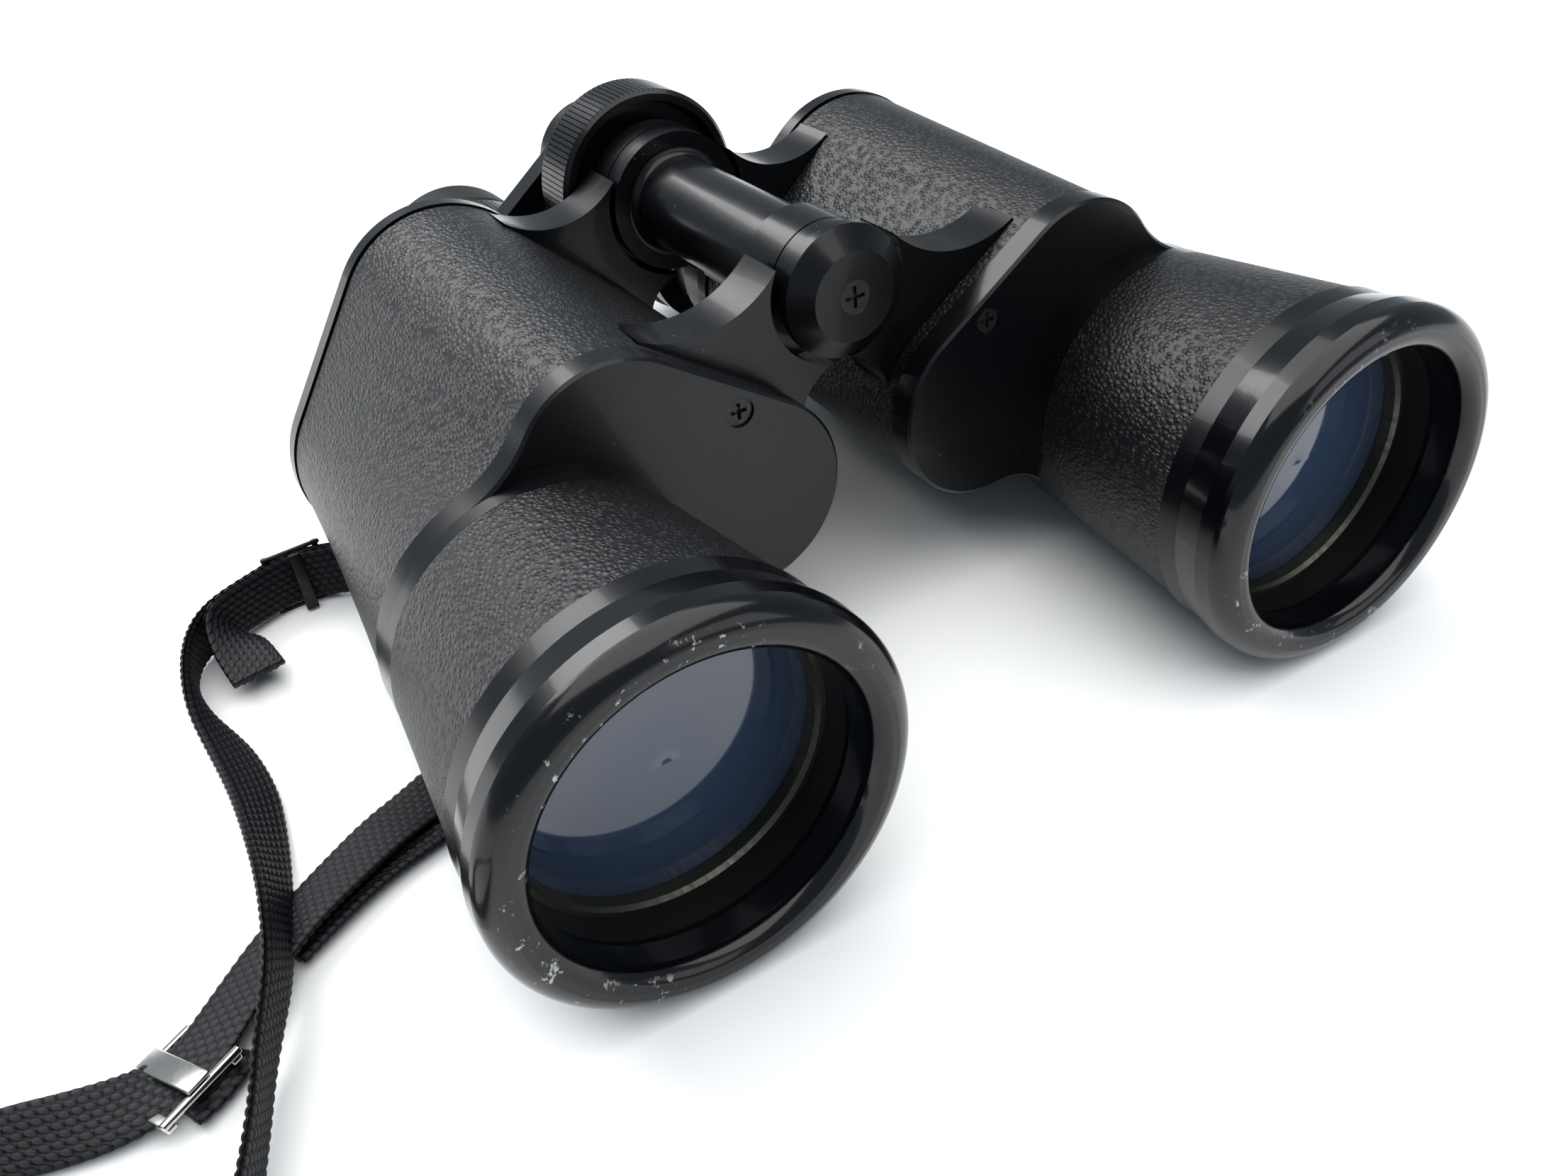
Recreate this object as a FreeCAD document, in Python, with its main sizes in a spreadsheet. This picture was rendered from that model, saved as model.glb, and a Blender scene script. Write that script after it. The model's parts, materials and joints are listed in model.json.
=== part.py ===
import FreeCAD, Part
import math
import os
import re

import Sketcher
from FreeCAD import Placement, Rotation, Vector

# Porro-prism binoculars with centre focusing, lying on a table as they are put down.
# Every piece is drawn in the optical frame: +Y runs from the objectives to the eyepieces, +X is
# to the right when looking along +Y, +Z is up, and the origin is midway between the two objective
# axes at the front of the objective rings. REST then lays the whole instrument on the table.
# "right" and "left" are the user's: the right half, which holds the dioptre ring, is at -X.

DIMENSIONS = [
    # the two halves and their axes
    ("barrel_offset", 62.8, "objective axis to the middle plane"),
    ("hinge_height", 36.6, "hinge axis above the objective axes"),
    ("eyepiece_offset", 25.7, "eyepiece axis to the middle plane"),
    ("eyepiece_height", 9.9, "eyepiece axis above the objective axes"),
    ("upper_lobe_offset", 46.6, "axis of the beam between the two prisms, to the middle plane"),
    ("upper_lobe_height", 24.1, "axis of the beam between the two prisms, above the objective axes"),
    # objective end
    ("lip_front", -1.6, "front of the rounded lip"),
    ("lip_outer_radius", 29.4, "where the lip turns into the side of the ring"),
    ("lip_inner_radius", 25.5, "clear opening of the ring"),
    ("ring_radius", 32.7, "widest radius of the objective ring"),
    ("seam_radius", 31.5, "radius of the ring at its seam"),
    ("ring_length", 12.1, "objective ring, lip to seam"),
    ("nose_radius", 28.5, "threaded nose of the barrel"),
    ("nose_length", 5.0, "length of the threaded nose"),
    ("band_length", 4.0, "plain band behind the seam"),
    ("barrel_front_radius", 31.0, "covered barrel at its front"),
    ("barrel_rear_radius", 27.5, "covered barrel at its root"),
    ("barrel_cover_length", 34.0, "length of the covering on the barrel"),
    ("root_collar_length", 3.1, "plain collar at the root of the barrel"),
    ("covering_thickness", 0.8, "pebbled covering"),
    ("barrel_bore_radius", 26.6, "bore for the lens cell"),
    ("spigot_radius", 22.5, "spigot that screws into the front cover"),
    ("spigot_bore_radius", 20.5, "bore of the spigot"),
    ("cell_length", 16.0, "lens cell"),
    ("cell_seat_radius", 25.6, "seat of the lens in its cell"),
    ("cell_stop_radius", 23.8, "stop behind the lens"),
    ("lens_edge", 5.4, "edge thickness of the objective"),
    ("lens_bulge", 2.1, "height of the objective's front surface"),
    ("lens_rear_bulge", 0.7, "height of the objective's rear surface"),
    ("retainer_length", 3.0, "lens retaining ring"),
    ("retainer_bore_radius", 24.3, "bore of the lens retaining ring"),
    # prism housing
    ("cover_front", 51.7, "front face of the front cover"),
    ("cover_depth", 5.1, "front cover, plate and skirt"),
    ("cover_plate", 2.2, "thickness of the cover plates"),
    ("housing_front", 56.9, "front end of the covered casting"),
    ("housing_rear", 127.3, "rear end of the covered casting"),
    ("rear_cover_depth", 4.2, "rear cover, plate and skirt"),
    ("shelf_front", 92.3, "front face of the prism shelf"),
    ("shelf_thickness", 2.7, "thickness of the prism shelf"),
    ("barrel_lobe", 27.0, "radius of the front cover round the barrel"),
    ("upper_lobe", 17.3, "radius of the front cover's upper lobe"),
    ("inner_lobe", 17.7, "radius of the front cover's inner lobe"),
    ("rear_lobe", 21.0, "radius of the rear cover's two prism lobes"),
    ("rear_inner_lobe", 17.2, "radius of the rear cover round the eyepiece"),
    ("wall", 2.1, "wall of the casting"),
    # hinge and focusing
    ("front_lug_face", 60.0, "front face of the front hinge lugs"),
    ("front_lug_width", 10.0, "front hinge lugs along the axis"),
    ("rear_lug_face", 117.0, "front face of the rear hinge lugs"),
    ("rear_lug_width", 10.2, "rear hinge lugs along the axis"),
    ("pin_radius", 5.0, "hinge pin"),
    ("running_gap", 0.05, "radial clearance of a running fit"),
    ("tube_radius", 9.0, "hinge tube"),
    ("front_knuckle", 10.7, "radius of the front knuckles"),
    ("rear_knuckle", 13.5, "radius of the rear knuckles"),
    ("cap_front", 55.0, "front face of the hinge cap"),
    ("cap_face_radius", 7.8, "flat face of the hinge cap"),
    ("cap_rim_radius", 11.5, "rim of the hinge cap"),
    ("wheel_front", 128.2, "front of the focus wheel"),
    ("wheel_length", 12.3, "length of the focus wheel"),
    ("wheel_radius", 19.0, "knurled radius of the focus wheel"),
    ("wheel_teeth", 110, "grooves round the focus wheel"),
    ("spindle_radius", 3.4, "focusing spindle"),
    ("arm_front", 146.0, "front face of the bridge arms"),
    ("arm_width", 11.0, "bridge arms along the axis"),
    ("arm_hub_radius", 12.0, "hub of the bridge arms"),
    ("arm_ring_radius", 17.9, "ring of a bridge arm round its eyepiece"),
    # eyepieces
    ("eyepiece_tube_radius", 14.0, "sliding eyepiece tube"),
    ("guide_radius", 15.5, "eyepiece guide on the rear cover"),
    ("skirt_radius", 15.2, "skirt of the ocular cell, on which the dioptre ring turns"),
    ("dioptre_radius", 18.6, "dioptre ring"),
    ("dioptre_teeth", 92, "grooves round the dioptre ring"),
    ("eyecup_radius", 18.2, "rim of the eyecup"),
    ("eyecup_length", 15.4, "length of the eyecup"),
    # strap
    ("strap_width", 10.0, "width of the webbing"),
    ("strap_thickness", 1.3, "thickness of the webbing"),
    # resting place of the instrument in the part's frame
    ("rest_y", -93.8, "shift that puts the middle of the instrument over the origin"),
]

doc = FreeCAD.newDocument("Binoculars")
sheet = doc.addObject("Spreadsheet::Sheet", "Dimensions")
for row, (alias, value, note) in enumerate(DIMENSIONS, start=1):
    sheet.set("A%d" % row, note)
    sheet.set("B%d" % row, str(value))
    sheet.setAlias("B%d" % row, alias)
doc.recompute()

ALIASES = sorted((alias for alias, _, _ in DIMENSIONS), key=len, reverse=True)
ALIAS_PATTERN = re.compile(r"\b(" + "|".join(ALIASES) + r")\b")


def dim(alias):
    """A driving dimension, in millimetres."""
    return float(sheet.get(alias))


def size(expression):
    """The value of an expression in the sheet's aliases."""
    value = sheet.evalExpression(str(expression))
    return float(getattr(value, "Value", value))


def bind(thing, path, expression):
    """Bind a property or a sketch constraint to an expression in the sheet's aliases."""
    thing.setExpression(path, ALIAS_PATTERN.sub(r"Dimensions.\1", str(expression)))


# ---------------------------------------------------------------- placing
RIGHT = -1
LEFT = 1
SIDES = {"right": RIGHT, "left": LEFT}
REAR_REST = dim("housing_rear") + dim("rear_cover_depth") - 0.8
RING_REST = dim("lip_front") + 6.6
DROP = dim("ring_radius") - dim("rear_lobe")
TILT = math.degrees(math.atan2(DROP, REAR_REST - RING_REST))


def rest_placement():
    """Lays the optical frame on the table: the rings in front and the rear covers touch it."""
    turn = Rotation(Vector(1, 0, 0), -TILT)
    touching = turn.multVec(Vector(0, RING_REST, -dim("ring_radius")))
    return Placement(Vector(0, dim("rest_y"), -touching.z), turn)


REST = rest_placement()
ALONG_AXIS = Rotation(Vector(0, 0, 1), 90)


def objective_axis(side, y=0.0):
    return Vector(side * dim("barrel_offset"), y, 0)


def eyepiece_axis(side, y=0.0):
    return Vector(side * dim("eyepiece_offset"), y, dim("eyepiece_height"))


def hinge_axis(side=0, y=0.0):
    return Vector(0, y, dim("hinge_height"))


def put(thing, base, turn=ALONG_AXIS):
    thing.Placement = REST * Placement(base, turn)
    return thing


# ---------------------------------------------------------------- sketched solids
def origin_feature(body, role):
    """A plane or an axis of the body's own origin."""
    return next(f for f in body.Origin.OriginFeatures if f.Role == role)


def arc_through(start, end, radius, side):
    """The shorter arc from start to end, its centre to the left (+1) or right (-1) of the way."""
    chord = end - start
    half = chord.Length / 2
    normal = Vector(-chord.y, chord.x, 0).normalize()
    centre = (start + end) * 0.5 + normal * (side * math.sqrt(max(radius**2 - half**2, 0)))
    first, last = (start, end) if side > 0 else (end, start)
    angles = [math.atan2(p.y - centre.y, p.x - centre.x) for p in (first, last)]
    if angles[1] < angles[0]:
        angles[1] += 2 * math.pi
    circle = Part.Circle(centre, Vector(0, 0, 1), radius)
    return Part.ArcOfCircle(circle, angles[0], angles[1])


def closed_sketch(body, name, outline, plane="XY_Plane"):
    """A closed sketch with every corner bound to the sheet.

    A corner is (x, y) or (x, y, radius, side): with a radius, the edge that leaves it is an arc
    whose centre lies to the left (+1) or right (-1) of the way.
    """
    sketch = body.newObject("Sketcher::SketchObject", name)
    sketch.AttachmentSupport = [(origin_feature(body, plane), "")]
    sketch.MapMode = "FlatFace"
    corners = [Vector(size(c[0]), size(c[1]), 0) for c in outline]
    starts, ends = [], []
    for i, corner in enumerate(outline):
        start, end = corners[i], corners[(i + 1) % len(corners)]
        if len(corner) == 4:
            edge = sketch.addGeometry(arc_through(start, end, size(corner[2]), corner[3]))
            first, last = (1, 2) if corner[3] > 0 else (2, 1)
        else:
            edge = sketch.addGeometry(Part.LineSegment(start, end))
            first, last = 1, 2
        starts.append((edge, first))
        ends.append((edge, last))
    for i, corner in enumerate(outline):
        edge, vertex = starts[i]
        before, before_vertex = ends[i - 1]
        sketch.addConstraint(
            Sketcher.Constraint("Coincident", before, before_vertex, edge, vertex)
        )
        for kind, axis, expression in (("DistanceX", -2, corner[0]), ("DistanceY", -1, corner[1])):
            value = size(expression)
            if abs(value) < 1e-9:
                sketch.addConstraint(Sketcher.Constraint("PointOnObject", edge, vertex, axis))
                continue
            number = sketch.addConstraint(
                Sketcher.Constraint(kind, -1, 1, edge, vertex, value)
            )
            bind(sketch, "Constraints[%d]" % number, expression)
        if len(corner) == 4:
            number = sketch.addConstraint(Sketcher.Constraint("Radius", edge, size(corner[2])))
            bind(sketch, "Constraints[%d]" % number, corner[2])
    return sketch


def lathe(label, profile, base):
    """A turned piece: profile corners are (distance along the axis from base, radius)."""
    body = doc.addObject("PartDesign::Body", label)
    body.Label = label
    sketch = closed_sketch(body, label + "_profile", profile)
    turned = body.newObject("PartDesign::Revolution", label + "_turned")
    turned.Profile = sketch
    turned.ReferenceAxis = (sketch, ["H_Axis"])
    turned.Angle = 360
    return put(body, base)


def knurl(body, radius, depth, teeth, length):
    """Straight grooves round a turned piece, one pocket repeated round its axis."""
    doc.recompute()
    before = body.Shape.Volume
    sketch = body.newObject("Sketcher::SketchObject", body.Label + "_groove")
    sketch.AttachmentSupport = [(origin_feature(body, "YZ_Plane"), "")]
    sketch.MapMode = "FlatFace"
    outer = size(radius) + 1.0
    inner = size(radius) - depth
    half = math.pi * outer / size(teeth) * 0.62
    corners = [Vector(inner, 0, 0), Vector(outer, -half, 0), Vector(outer, half, 0)]
    for i, corner in enumerate(corners):
        sketch.addGeometry(Part.LineSegment(corner, corners[(i + 1) % 3]))
    for i in range(3):
        sketch.addConstraint(Sketcher.Constraint("Coincident", i, 2, (i + 1) % 3, 1))
    groove = body.newObject("PartDesign::Pocket", body.Label + "_pocket")
    groove.Profile = sketch
    bind(groove, "Length", length)
    groove.Reversed = True
    pattern = body.newObject("PartDesign::PolarPattern", body.Label + "_knurl")
    pattern.Originals = [groove]
    pattern.Axis = (origin_feature(body, "X_Axis"), [""])
    pattern.Angle = 360
    bind(pattern, "Occurrences", teeth)
    body.Tip = pattern
    doc.recompute()
    if not body.Shape.Volume < before - 1.0:
        raise RuntimeError(body.Label + " has no grooves")
    return body


# ---------------------------------------------------------------- outlines of the castings
def tangent_line(first, second):
    """Ends of the outer tangent line between two circles (x, z, r), keeping both on its right."""
    (x1, z1, r1), (x2, z2, r2) = first, second
    gap = math.hypot(x2 - x1, z2 - z1)
    heading = math.atan2(z2 - z1, x2 - x1) + math.pi / 2 + math.asin((r2 - r1) / gap)
    way = Vector(math.cos(heading), 0, math.sin(heading))
    return Vector(x1, 0, z1) + way * r1, Vector(x2, 0, z2) + way * r2


def blend_circle(first, second, radius):
    """Centre of a hollow arc that touches two circles from outside, on the left of the way."""
    (x1, z1, r1), (x2, z2, r2) = first, second
    a, b = r1 + radius, r2 + radius
    gap = math.hypot(x2 - x1, z2 - z1)
    along = (a * a - b * b + gap * gap) / (2 * gap)
    across = math.sqrt(a * a - along * along)
    ux, uz = (x2 - x1) / gap, (z2 - z1) / gap
    return Vector(x1 + ux * along - uz * across, 0, z1 + uz * along + ux * across)


def touch(circle, point):
    """Point of a circle (x, z, r) nearest to a point outside it."""
    centre = Vector(circle[0], 0, circle[1])
    return centre + (point - centre).normalize() * circle[2]


def ring_of_lobes(lobes, joins, y):
    """A closed wire round three lobes, clockwise seen from the front of a right half.

    Each join is None for a straight tangent, or the radius of a hollow blend.
    """
    count = len(lobes)
    ends = []
    for i, radius in enumerate(joins):
        first, second = lobes[i], lobes[(i + 1) % count]
        if radius is None:
            start, end = tangent_line(first, second)
            ends.append((start, None, end))
        else:
            centre = blend_circle(first, second, radius)
            start, end = touch(first, centre), touch(second, centre)
            middle = (start + end) * 0.5
            middle = centre + (middle - centre).normalize() * radius
            ends.append((start, middle, end))
    lift = Vector(0, y, 0)
    edges = []
    for i in range(count):
        arrive, leave = ends[i - 1][2], ends[i][0]
        x, z, radius = lobes[i]
        centre = Vector(x, 0, z)
        turn = [math.atan2(p.z - z, p.x - x) for p in (arrive, leave)]
        if turn[1] > turn[0]:
            turn[1] -= 2 * math.pi
        half = (turn[0] + turn[1]) / 2
        middle = centre + Vector(math.cos(half), 0, math.sin(half)) * radius
        edges.append(Part.Arc(arrive + lift, middle + lift, leave + lift).toShape())
        start, bulge, end = ends[i]
        if bulge is None:
            edges.append(Part.makeLine(start + lift, end + lift))
        else:
            edges.append(Part.Arc(start + lift, bulge + lift, end + lift).toShape())
    return Part.Wire(edges)


OUTER_BLEND = 22.0
UNDER_BLEND = 13.0


def front_outline(inset, y):
    """Outline of the front end: barrel lobe, upper lobe, inner lobe, drawn for a right half."""
    lobes = [
        (-dim("barrel_offset"), 0.0, dim("barrel_lobe") - inset),
        (-dim("upper_lobe_offset"), dim("upper_lobe_height"), dim("upper_lobe") - inset),
        (-dim("eyepiece_offset") + 0.6, dim("eyepiece_height") - 0.6, dim("inner_lobe") - inset),
    ]
    return ring_of_lobes(lobes, [OUTER_BLEND + inset, None, UNDER_BLEND + inset], y)


def rear_outline(inset, y):
    """Outline of the rear end: the two ends of the rear prism and the eyepiece."""
    lobes = [
        (-dim("barrel_offset"), 0.0, dim("rear_lobe") - inset),
        (-dim("upper_lobe_offset"), dim("upper_lobe_height"), dim("rear_lobe") - inset),
        (-dim("eyepiece_offset"), dim("eyepiece_height"), dim("rear_inner_lobe") - inset),
    ]
    return ring_of_lobes(lobes, [None, None, UNDER_BLEND + 6.0 + inset], y)


def slab(wire, depth):
    return Part.Face(wire).extrude(Vector(0, depth, 0))


def housing_loft(inset, front=None, rear=None):
    front = dim("housing_front") if front is None else front
    rear = dim("housing_rear") if rear is None else rear
    return Part.makeLoft([front_outline(inset, front), rear_outline(inset, rear)], True, True)


def rod(base, radius, length):
    return Part.makeCylinder(radius, length, base, Vector(0, 1, 0))


def mirrored(shape, side):
    """Shapes are drawn for the right half, at -X, and mirrored for the left one."""
    if side == RIGHT:
        return shape
    return shape.mirror(Vector(0, 0, 0), Vector(1, 0, 0))


def cast(label, shape):
    """A casting or moulding whose shape no sketch or primitive gives."""
    feature = doc.addObject("Part::Feature", label)
    feature.Label = label
    feature.Shape = shape
    return put(feature, Vector(0, 0, 0), Rotation())


# ---------------------------------------------------------------- objectives and barrels
BARREL_START = "(lip_front + ring_length - nose_length + 0.1)"


def objective_ring(name, side):
    """Screwed front ring with a broad rounded lip."""
    lathe(
        name + "_objective_ring",
        [
            (0, "lip_outer_radius", 4.0, -1),
            (3.6, "ring_radius"),
            (6.6, "ring_radius"),
            ("ring_length", "seam_radius"),
            ("ring_length", "nose_radius"),
            ("ring_length - nose_length", "nose_radius"),
            ("ring_length - nose_length", "lip_inner_radius"),
            (2.9, "lip_inner_radius", 2.9, -1),
            (0, "lip_inner_radius + 2.7"),
        ],
        objective_axis(side, dim("lip_front")),
    )


def objective_barrel(name, side):
    """Tapered barrel: threaded nose, plain band, recess for the covering, root and spigot."""
    nose = "nose_length"
    band = "(nose_length + band_length)"
    root = "(nose_length + band_length + barrel_cover_length)"
    face = "(nose_length + band_length + barrel_cover_length + root_collar_length)"
    lathe(
        name + "_objective_barrel",
        [
            (0, "nose_radius"),
            (nose, "nose_radius"),
            (nose, "seam_radius - 0.1"),
            (band, "seam_radius - 0.1"),
            (band, "barrel_front_radius - covering_thickness"),
            (root, "barrel_rear_radius - covering_thickness"),
            (root, "barrel_rear_radius - 0.1"),
            (face, "barrel_rear_radius - 0.2"),
            (face, "spigot_radius"),
            (face + " + 2.1", "spigot_radius"),
            (face + " + 2.1", "spigot_bore_radius"),
            (face, "spigot_bore_radius"),
            ("cell_length + 1.2", "spigot_bore_radius + 2.4"),
            ("cell_length + 1.2", "barrel_bore_radius"),
            (0, "barrel_bore_radius"),
        ],
        objective_axis(side, size(BARREL_START)),
    )


def barrel_covering(name, side):
    lathe(
        name + "_barrel_covering",
        [
            (0, "barrel_front_radius"),
            ("barrel_cover_length - 0.5", "barrel_rear_radius"),
            ("barrel_cover_length - 0.5", "barrel_rear_radius - covering_thickness + 0.02"),
            (0, "barrel_front_radius - covering_thickness + 0.02"),
        ],
        objective_axis(side, size(BARREL_START + " + nose_length + band_length + 0.25")),
    )


def dome(height, radius):
    """Radius of curvature of a lens surface, from its height and the radius of its edge."""
    return "(%s^2 + (%s)^2) / (2 * %s)" % (height, radius, height)


LENS_PLAY = 0.12


def objective_optics(name, side):
    """Lens cell, cemented objective and its screwed retaining ring."""
    start = size(BARREL_START) + 1.0
    seat = start + dim("cell_length") - 2 - dim("lens_edge")
    edge = "cell_seat_radius - 0.1"
    lathe(
        name + "_lens_cell",
        [
            (0, "barrel_bore_radius"),
            ("cell_length", "barrel_bore_radius"),
            ("cell_length", "cell_stop_radius"),
            ("cell_length - 2", "cell_stop_radius"),
            ("cell_length - 2", "cell_seat_radius"),
            (0, "cell_seat_radius"),
        ],
        objective_axis(side, start),
    )
    lathe(
        name + "_objective_lens",
        [
            (0, 0, dome("lens_bulge", edge), -1),
            ("lens_bulge", edge),
            ("lens_bulge + lens_edge", edge, dome("lens_rear_bulge", edge), -1),
            ("lens_bulge + lens_edge + lens_rear_bulge", 0),
        ],
        objective_axis(side, seat - LENS_PLAY - dim("lens_bulge")),
    )
    lathe(
        name + "_lens_retaining_ring",
        [
            (0, "cell_seat_radius"),
            ("retainer_length", "cell_seat_radius"),
            ("retainer_length", "retainer_bore_radius"),
            (0.8, "retainer_bore_radius"),
            (0, "retainer_bore_radius + 0.5"),
        ],
        objective_axis(side, seat - 3.5 * LENS_PLAY - dim("retainer_length")),
    )


# ---------------------------------------------------------------- prism housings
SCREW_SHANK = 1.4
COVER_SCREW_HEAD = 2.25
COVER_SCREW_SINK = 0.45
COVER_SCREW_HOLE = 2.6
CAP_SCREW_HEAD = 2.95
SCREW_HEAD_DEPTH = 1.5
FRONT_SCREW = (-25.2, 25.6)
REAR_SCREWS = [(-72.0, 13.8), (-55.0, -13.5)]
BOSS_RADIUS = 3.2
SHELF_HOLE = 10.4


def front_lug_outline():
    """Web of a front lug, for a right half: (arc centre, arc radius, tip angle)."""
    return Vector(-27.0, 0, 57.2), 21.0


def rear_lug_outline():
    return Vector(-25.4, 0, 55.2), 17.0


def circles_meet(centre, radius, other, other_radius):
    """Intersection of two circles in an XZ plane, the one to the left going from centre to other."""
    gap = (other - centre).Length
    along = (radius**2 - other_radius**2 + gap**2) / (2 * gap)
    across = math.sqrt(radius**2 - along**2)
    way = (other - centre).normalize()
    return centre + way * along + Vector(-way.z, 0, way.x) * across


def lug_web(saddle, inner_radius, shoulder, y, width):
    """Saddle-shaped web between a housing's top and the hinge, drawn for a right half."""
    centre, radius = saddle
    pivot = hinge_axis()
    tip = circles_meet(pivot, inner_radius, centre, radius)
    low_angle = math.radians(-98)
    low = pivot + Vector(math.cos(low_angle), 0, math.sin(low_angle)) * inner_radius
    tip_angle = math.atan2(tip.z - pivot.z, tip.x - pivot.x)
    middle_angle = (tip_angle + low_angle + 2 * math.pi) / 2
    hollow = pivot + Vector(math.cos(middle_angle), 0, math.sin(middle_angle)) * inner_radius
    saddle_bottom = centre + Vector(0, 0, -radius)
    root = Vector(-9.0, 0, 15.6)
    throat = (low + root) * 0.5 + Vector(-1.1, 0, 0.9)
    inside = Vector(-27.0, 0, 13.0)
    lift = Vector(0, y, 0)
    edges = [
        Part.Arc(tip + lift, hollow + lift, low + lift).toShape(),
        Part.Arc(low + lift, throat + lift, root + lift).toShape(),
        Part.makeLine(root + lift, inside + lift),
        Part.makeLine(inside + lift, Vector(shoulder[0] + 3.0, y, shoulder[1] - 16.0)),
        Part.makeLine(Vector(shoulder[0] + 3.0, y, shoulder[1] - 16.0), Vector(shoulder[0], y, shoulder[1])),
        Part.Arc(Vector(shoulder[0], y, shoulder[1]), saddle_bottom + lift, tip + lift).toShape(),
    ]
    return slab(Part.Wire(edges), width)


def on_saddle(saddle, x):
    centre, radius = saddle
    return x, centre.z - math.sqrt(radius**2 - (x - centre.x) ** 2)


# The four knuckles share the pin like a door hinge: each half owns one at each end.
FRONT_RECESS = 13.2
REAR_RECESS = 14.7
FRONT_SPLIT = 64.2
REAR_SPLIT = 121.7


def hinge_lugs(side):
    """The two lugs of one half, each with its knuckle, drawn at -X, and bored for the pin."""
    pivot = hinge_axis()
    front_face, rear_face = dim("front_lug_face"), dim("rear_lug_face")
    front_end = front_face + dim("front_lug_width")
    rear_end = rear_face + dim("rear_lug_width")
    front = front_lug_outline()
    rear = rear_lug_outline()
    webs = [
        lug_web(front, FRONT_RECESS, on_saddle(front, -37.2), front_face, dim("front_lug_width")),
        lug_web(rear, REAR_RECESS, on_saddle(rear, -35.6), rear_face, dim("rear_lug_width")),
    ]
    if side == RIGHT:
        knuckles = [
            (FRONT_SPLIT + 0.2, 73.6, dim("front_knuckle"), front_end),
            (REAR_SPLIT + 0.2, rear_end, dim("rear_knuckle"), rear_end),
        ]
    else:
        knuckles = [
            (front_face, FRONT_SPLIT - 0.2, dim("front_knuckle"), FRONT_SPLIT - 0.2),
            (rear_face, REAR_SPLIT - 0.2, dim("rear_knuckle"), REAR_SPLIT - 0.2),
        ]
    bore = dim("pin_radius") if side == RIGHT else dim("pin_radius") + dim("running_gap")
    pin_hole = rod(pivot + Vector(0, 50, 0), bore, 90)
    lugs = []
    for web, knuckle_size, web_reach in zip(webs, knuckles, (FRONT_RECESS, REAR_RECESS)):
        start, end, radius, web_end = knuckle_size
        knuckle = rod(pivot + Vector(0, start, 0), radius, end - start)
        bridge = Part.makeBox(
            web_reach + 4.0,
            web_end - start,
            12.5,
            Vector(-web_reach - 4.0, start, pivot.z - web_reach + 1.6),
        )
        near = rod(pivot + Vector(0, start, 0), web_reach + 4.0, web_end - start)
        lugs.append(web.fuse(knuckle).fuse(bridge.common(near)).cut(pin_hole))
    return lugs


def main_solid(shape):
    """The one solid of a piece, without slivers that a cut along a ruled surface leaves."""
    return max(shape.Solids, key=lambda solid: solid.Volume)


RIM_INSET = 1.5
CASTING_INSET = 1.1


def rim(outline, start, length):
    """Thin raised edge round one end of the casting, which the skirt of a cover fits over."""
    inner = CASTING_INSET + dim("wall") - 0.2
    return slab(outline(RIM_INSET, start), length).cut(slab(outline(inner, start - 1), length + 2))


def prism_housing(name, side):
    """Cast housing: tapering shell, rims for the covers, prism shelf and screw bosses."""
    front, rear = dim("housing_front"), dim("housing_rear")
    front_plate = dim("cover_front") + dim("cover_plate")
    rear_plate = rear + dim("rear_cover_depth") - dim("cover_plate")
    inset = CASTING_INSET + dim("wall")
    solid = housing_loft(CASTING_INSET).cut(housing_loft(inset))
    solid = solid.fuse(rim(front_outline, front_plate, front - front_plate))
    solid = solid.fuse(rim(rear_outline, rear, rear_plate - rear))
    shelf_box = Part.makeBox(
        120, dim("shelf_thickness"), 120, Vector(-110, dim("shelf_front"), -50)
    )
    shelf = housing_loft(inset - 0.4).common(shelf_box)
    for x, z in beam_axes():
        shelf = shelf.cut(rod(Vector(x, dim("shelf_front") - 1, z), SHELF_HOLE, 5))
    solid = solid.fuse(shelf)
    for x, z, start, length in (
        (*FRONT_SCREW, front_plate, 10.0),
        (*REAR_SCREWS[0], rear_plate - 10.0, 10.0),
        (*REAR_SCREWS[1], rear_plate - 10.0, 10.0),
    ):
        boss = rod(Vector(x, start, z), BOSS_RADIUS, length)
        solid = solid.fuse(boss).cut(rod(Vector(x, start - 1, z), SCREW_SHANK, length + 2))
    cast(name + "_prism_housing", mirrored(main_solid(solid), side))
    lugs = [main_solid(lug.cut(housing_loft(CASTING_INSET))) for lug in hinge_lugs(side)]
    cast(name + "_hinge_lugs", mirrored(Part.makeCompound(lugs), side))


def beam_axes():
    """Axes of the light: objective, between the prisms, eyepiece; for a right half."""
    return [
        (-dim("barrel_offset"), 0.0),
        (-dim("upper_lobe_offset"), dim("upper_lobe_height")),
        (-dim("eyepiece_offset"), dim("eyepiece_height")),
    ]


def housing_covering(name, side):
    """Pebbled covering wrapped round the casting, cut away round the two lugs."""
    start, end = dim("housing_front") + 0.15, dim("housing_rear") - 0.8
    outer_skin = CASTING_INSET - dim("covering_thickness")
    band = Part.makeBox(140, end - start, 140, Vector(-120, start, -60))
    skin = housing_loft(outer_skin).cut(housing_loft(CASTING_INSET - 0.02)).common(band)
    front = lug_web(front_lug_outline(), FRONT_RECESS, on_saddle(front_lug_outline(), -37.4), 59.8, 10.4)
    rear = lug_web(rear_lug_outline(), REAR_RECESS, on_saddle(rear_lug_outline(), -35.8), 116.8, 10.9)
    cast(name + "_housing_covering", mirrored(main_solid(skin.cut(front).cut(rear)), side))


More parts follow.
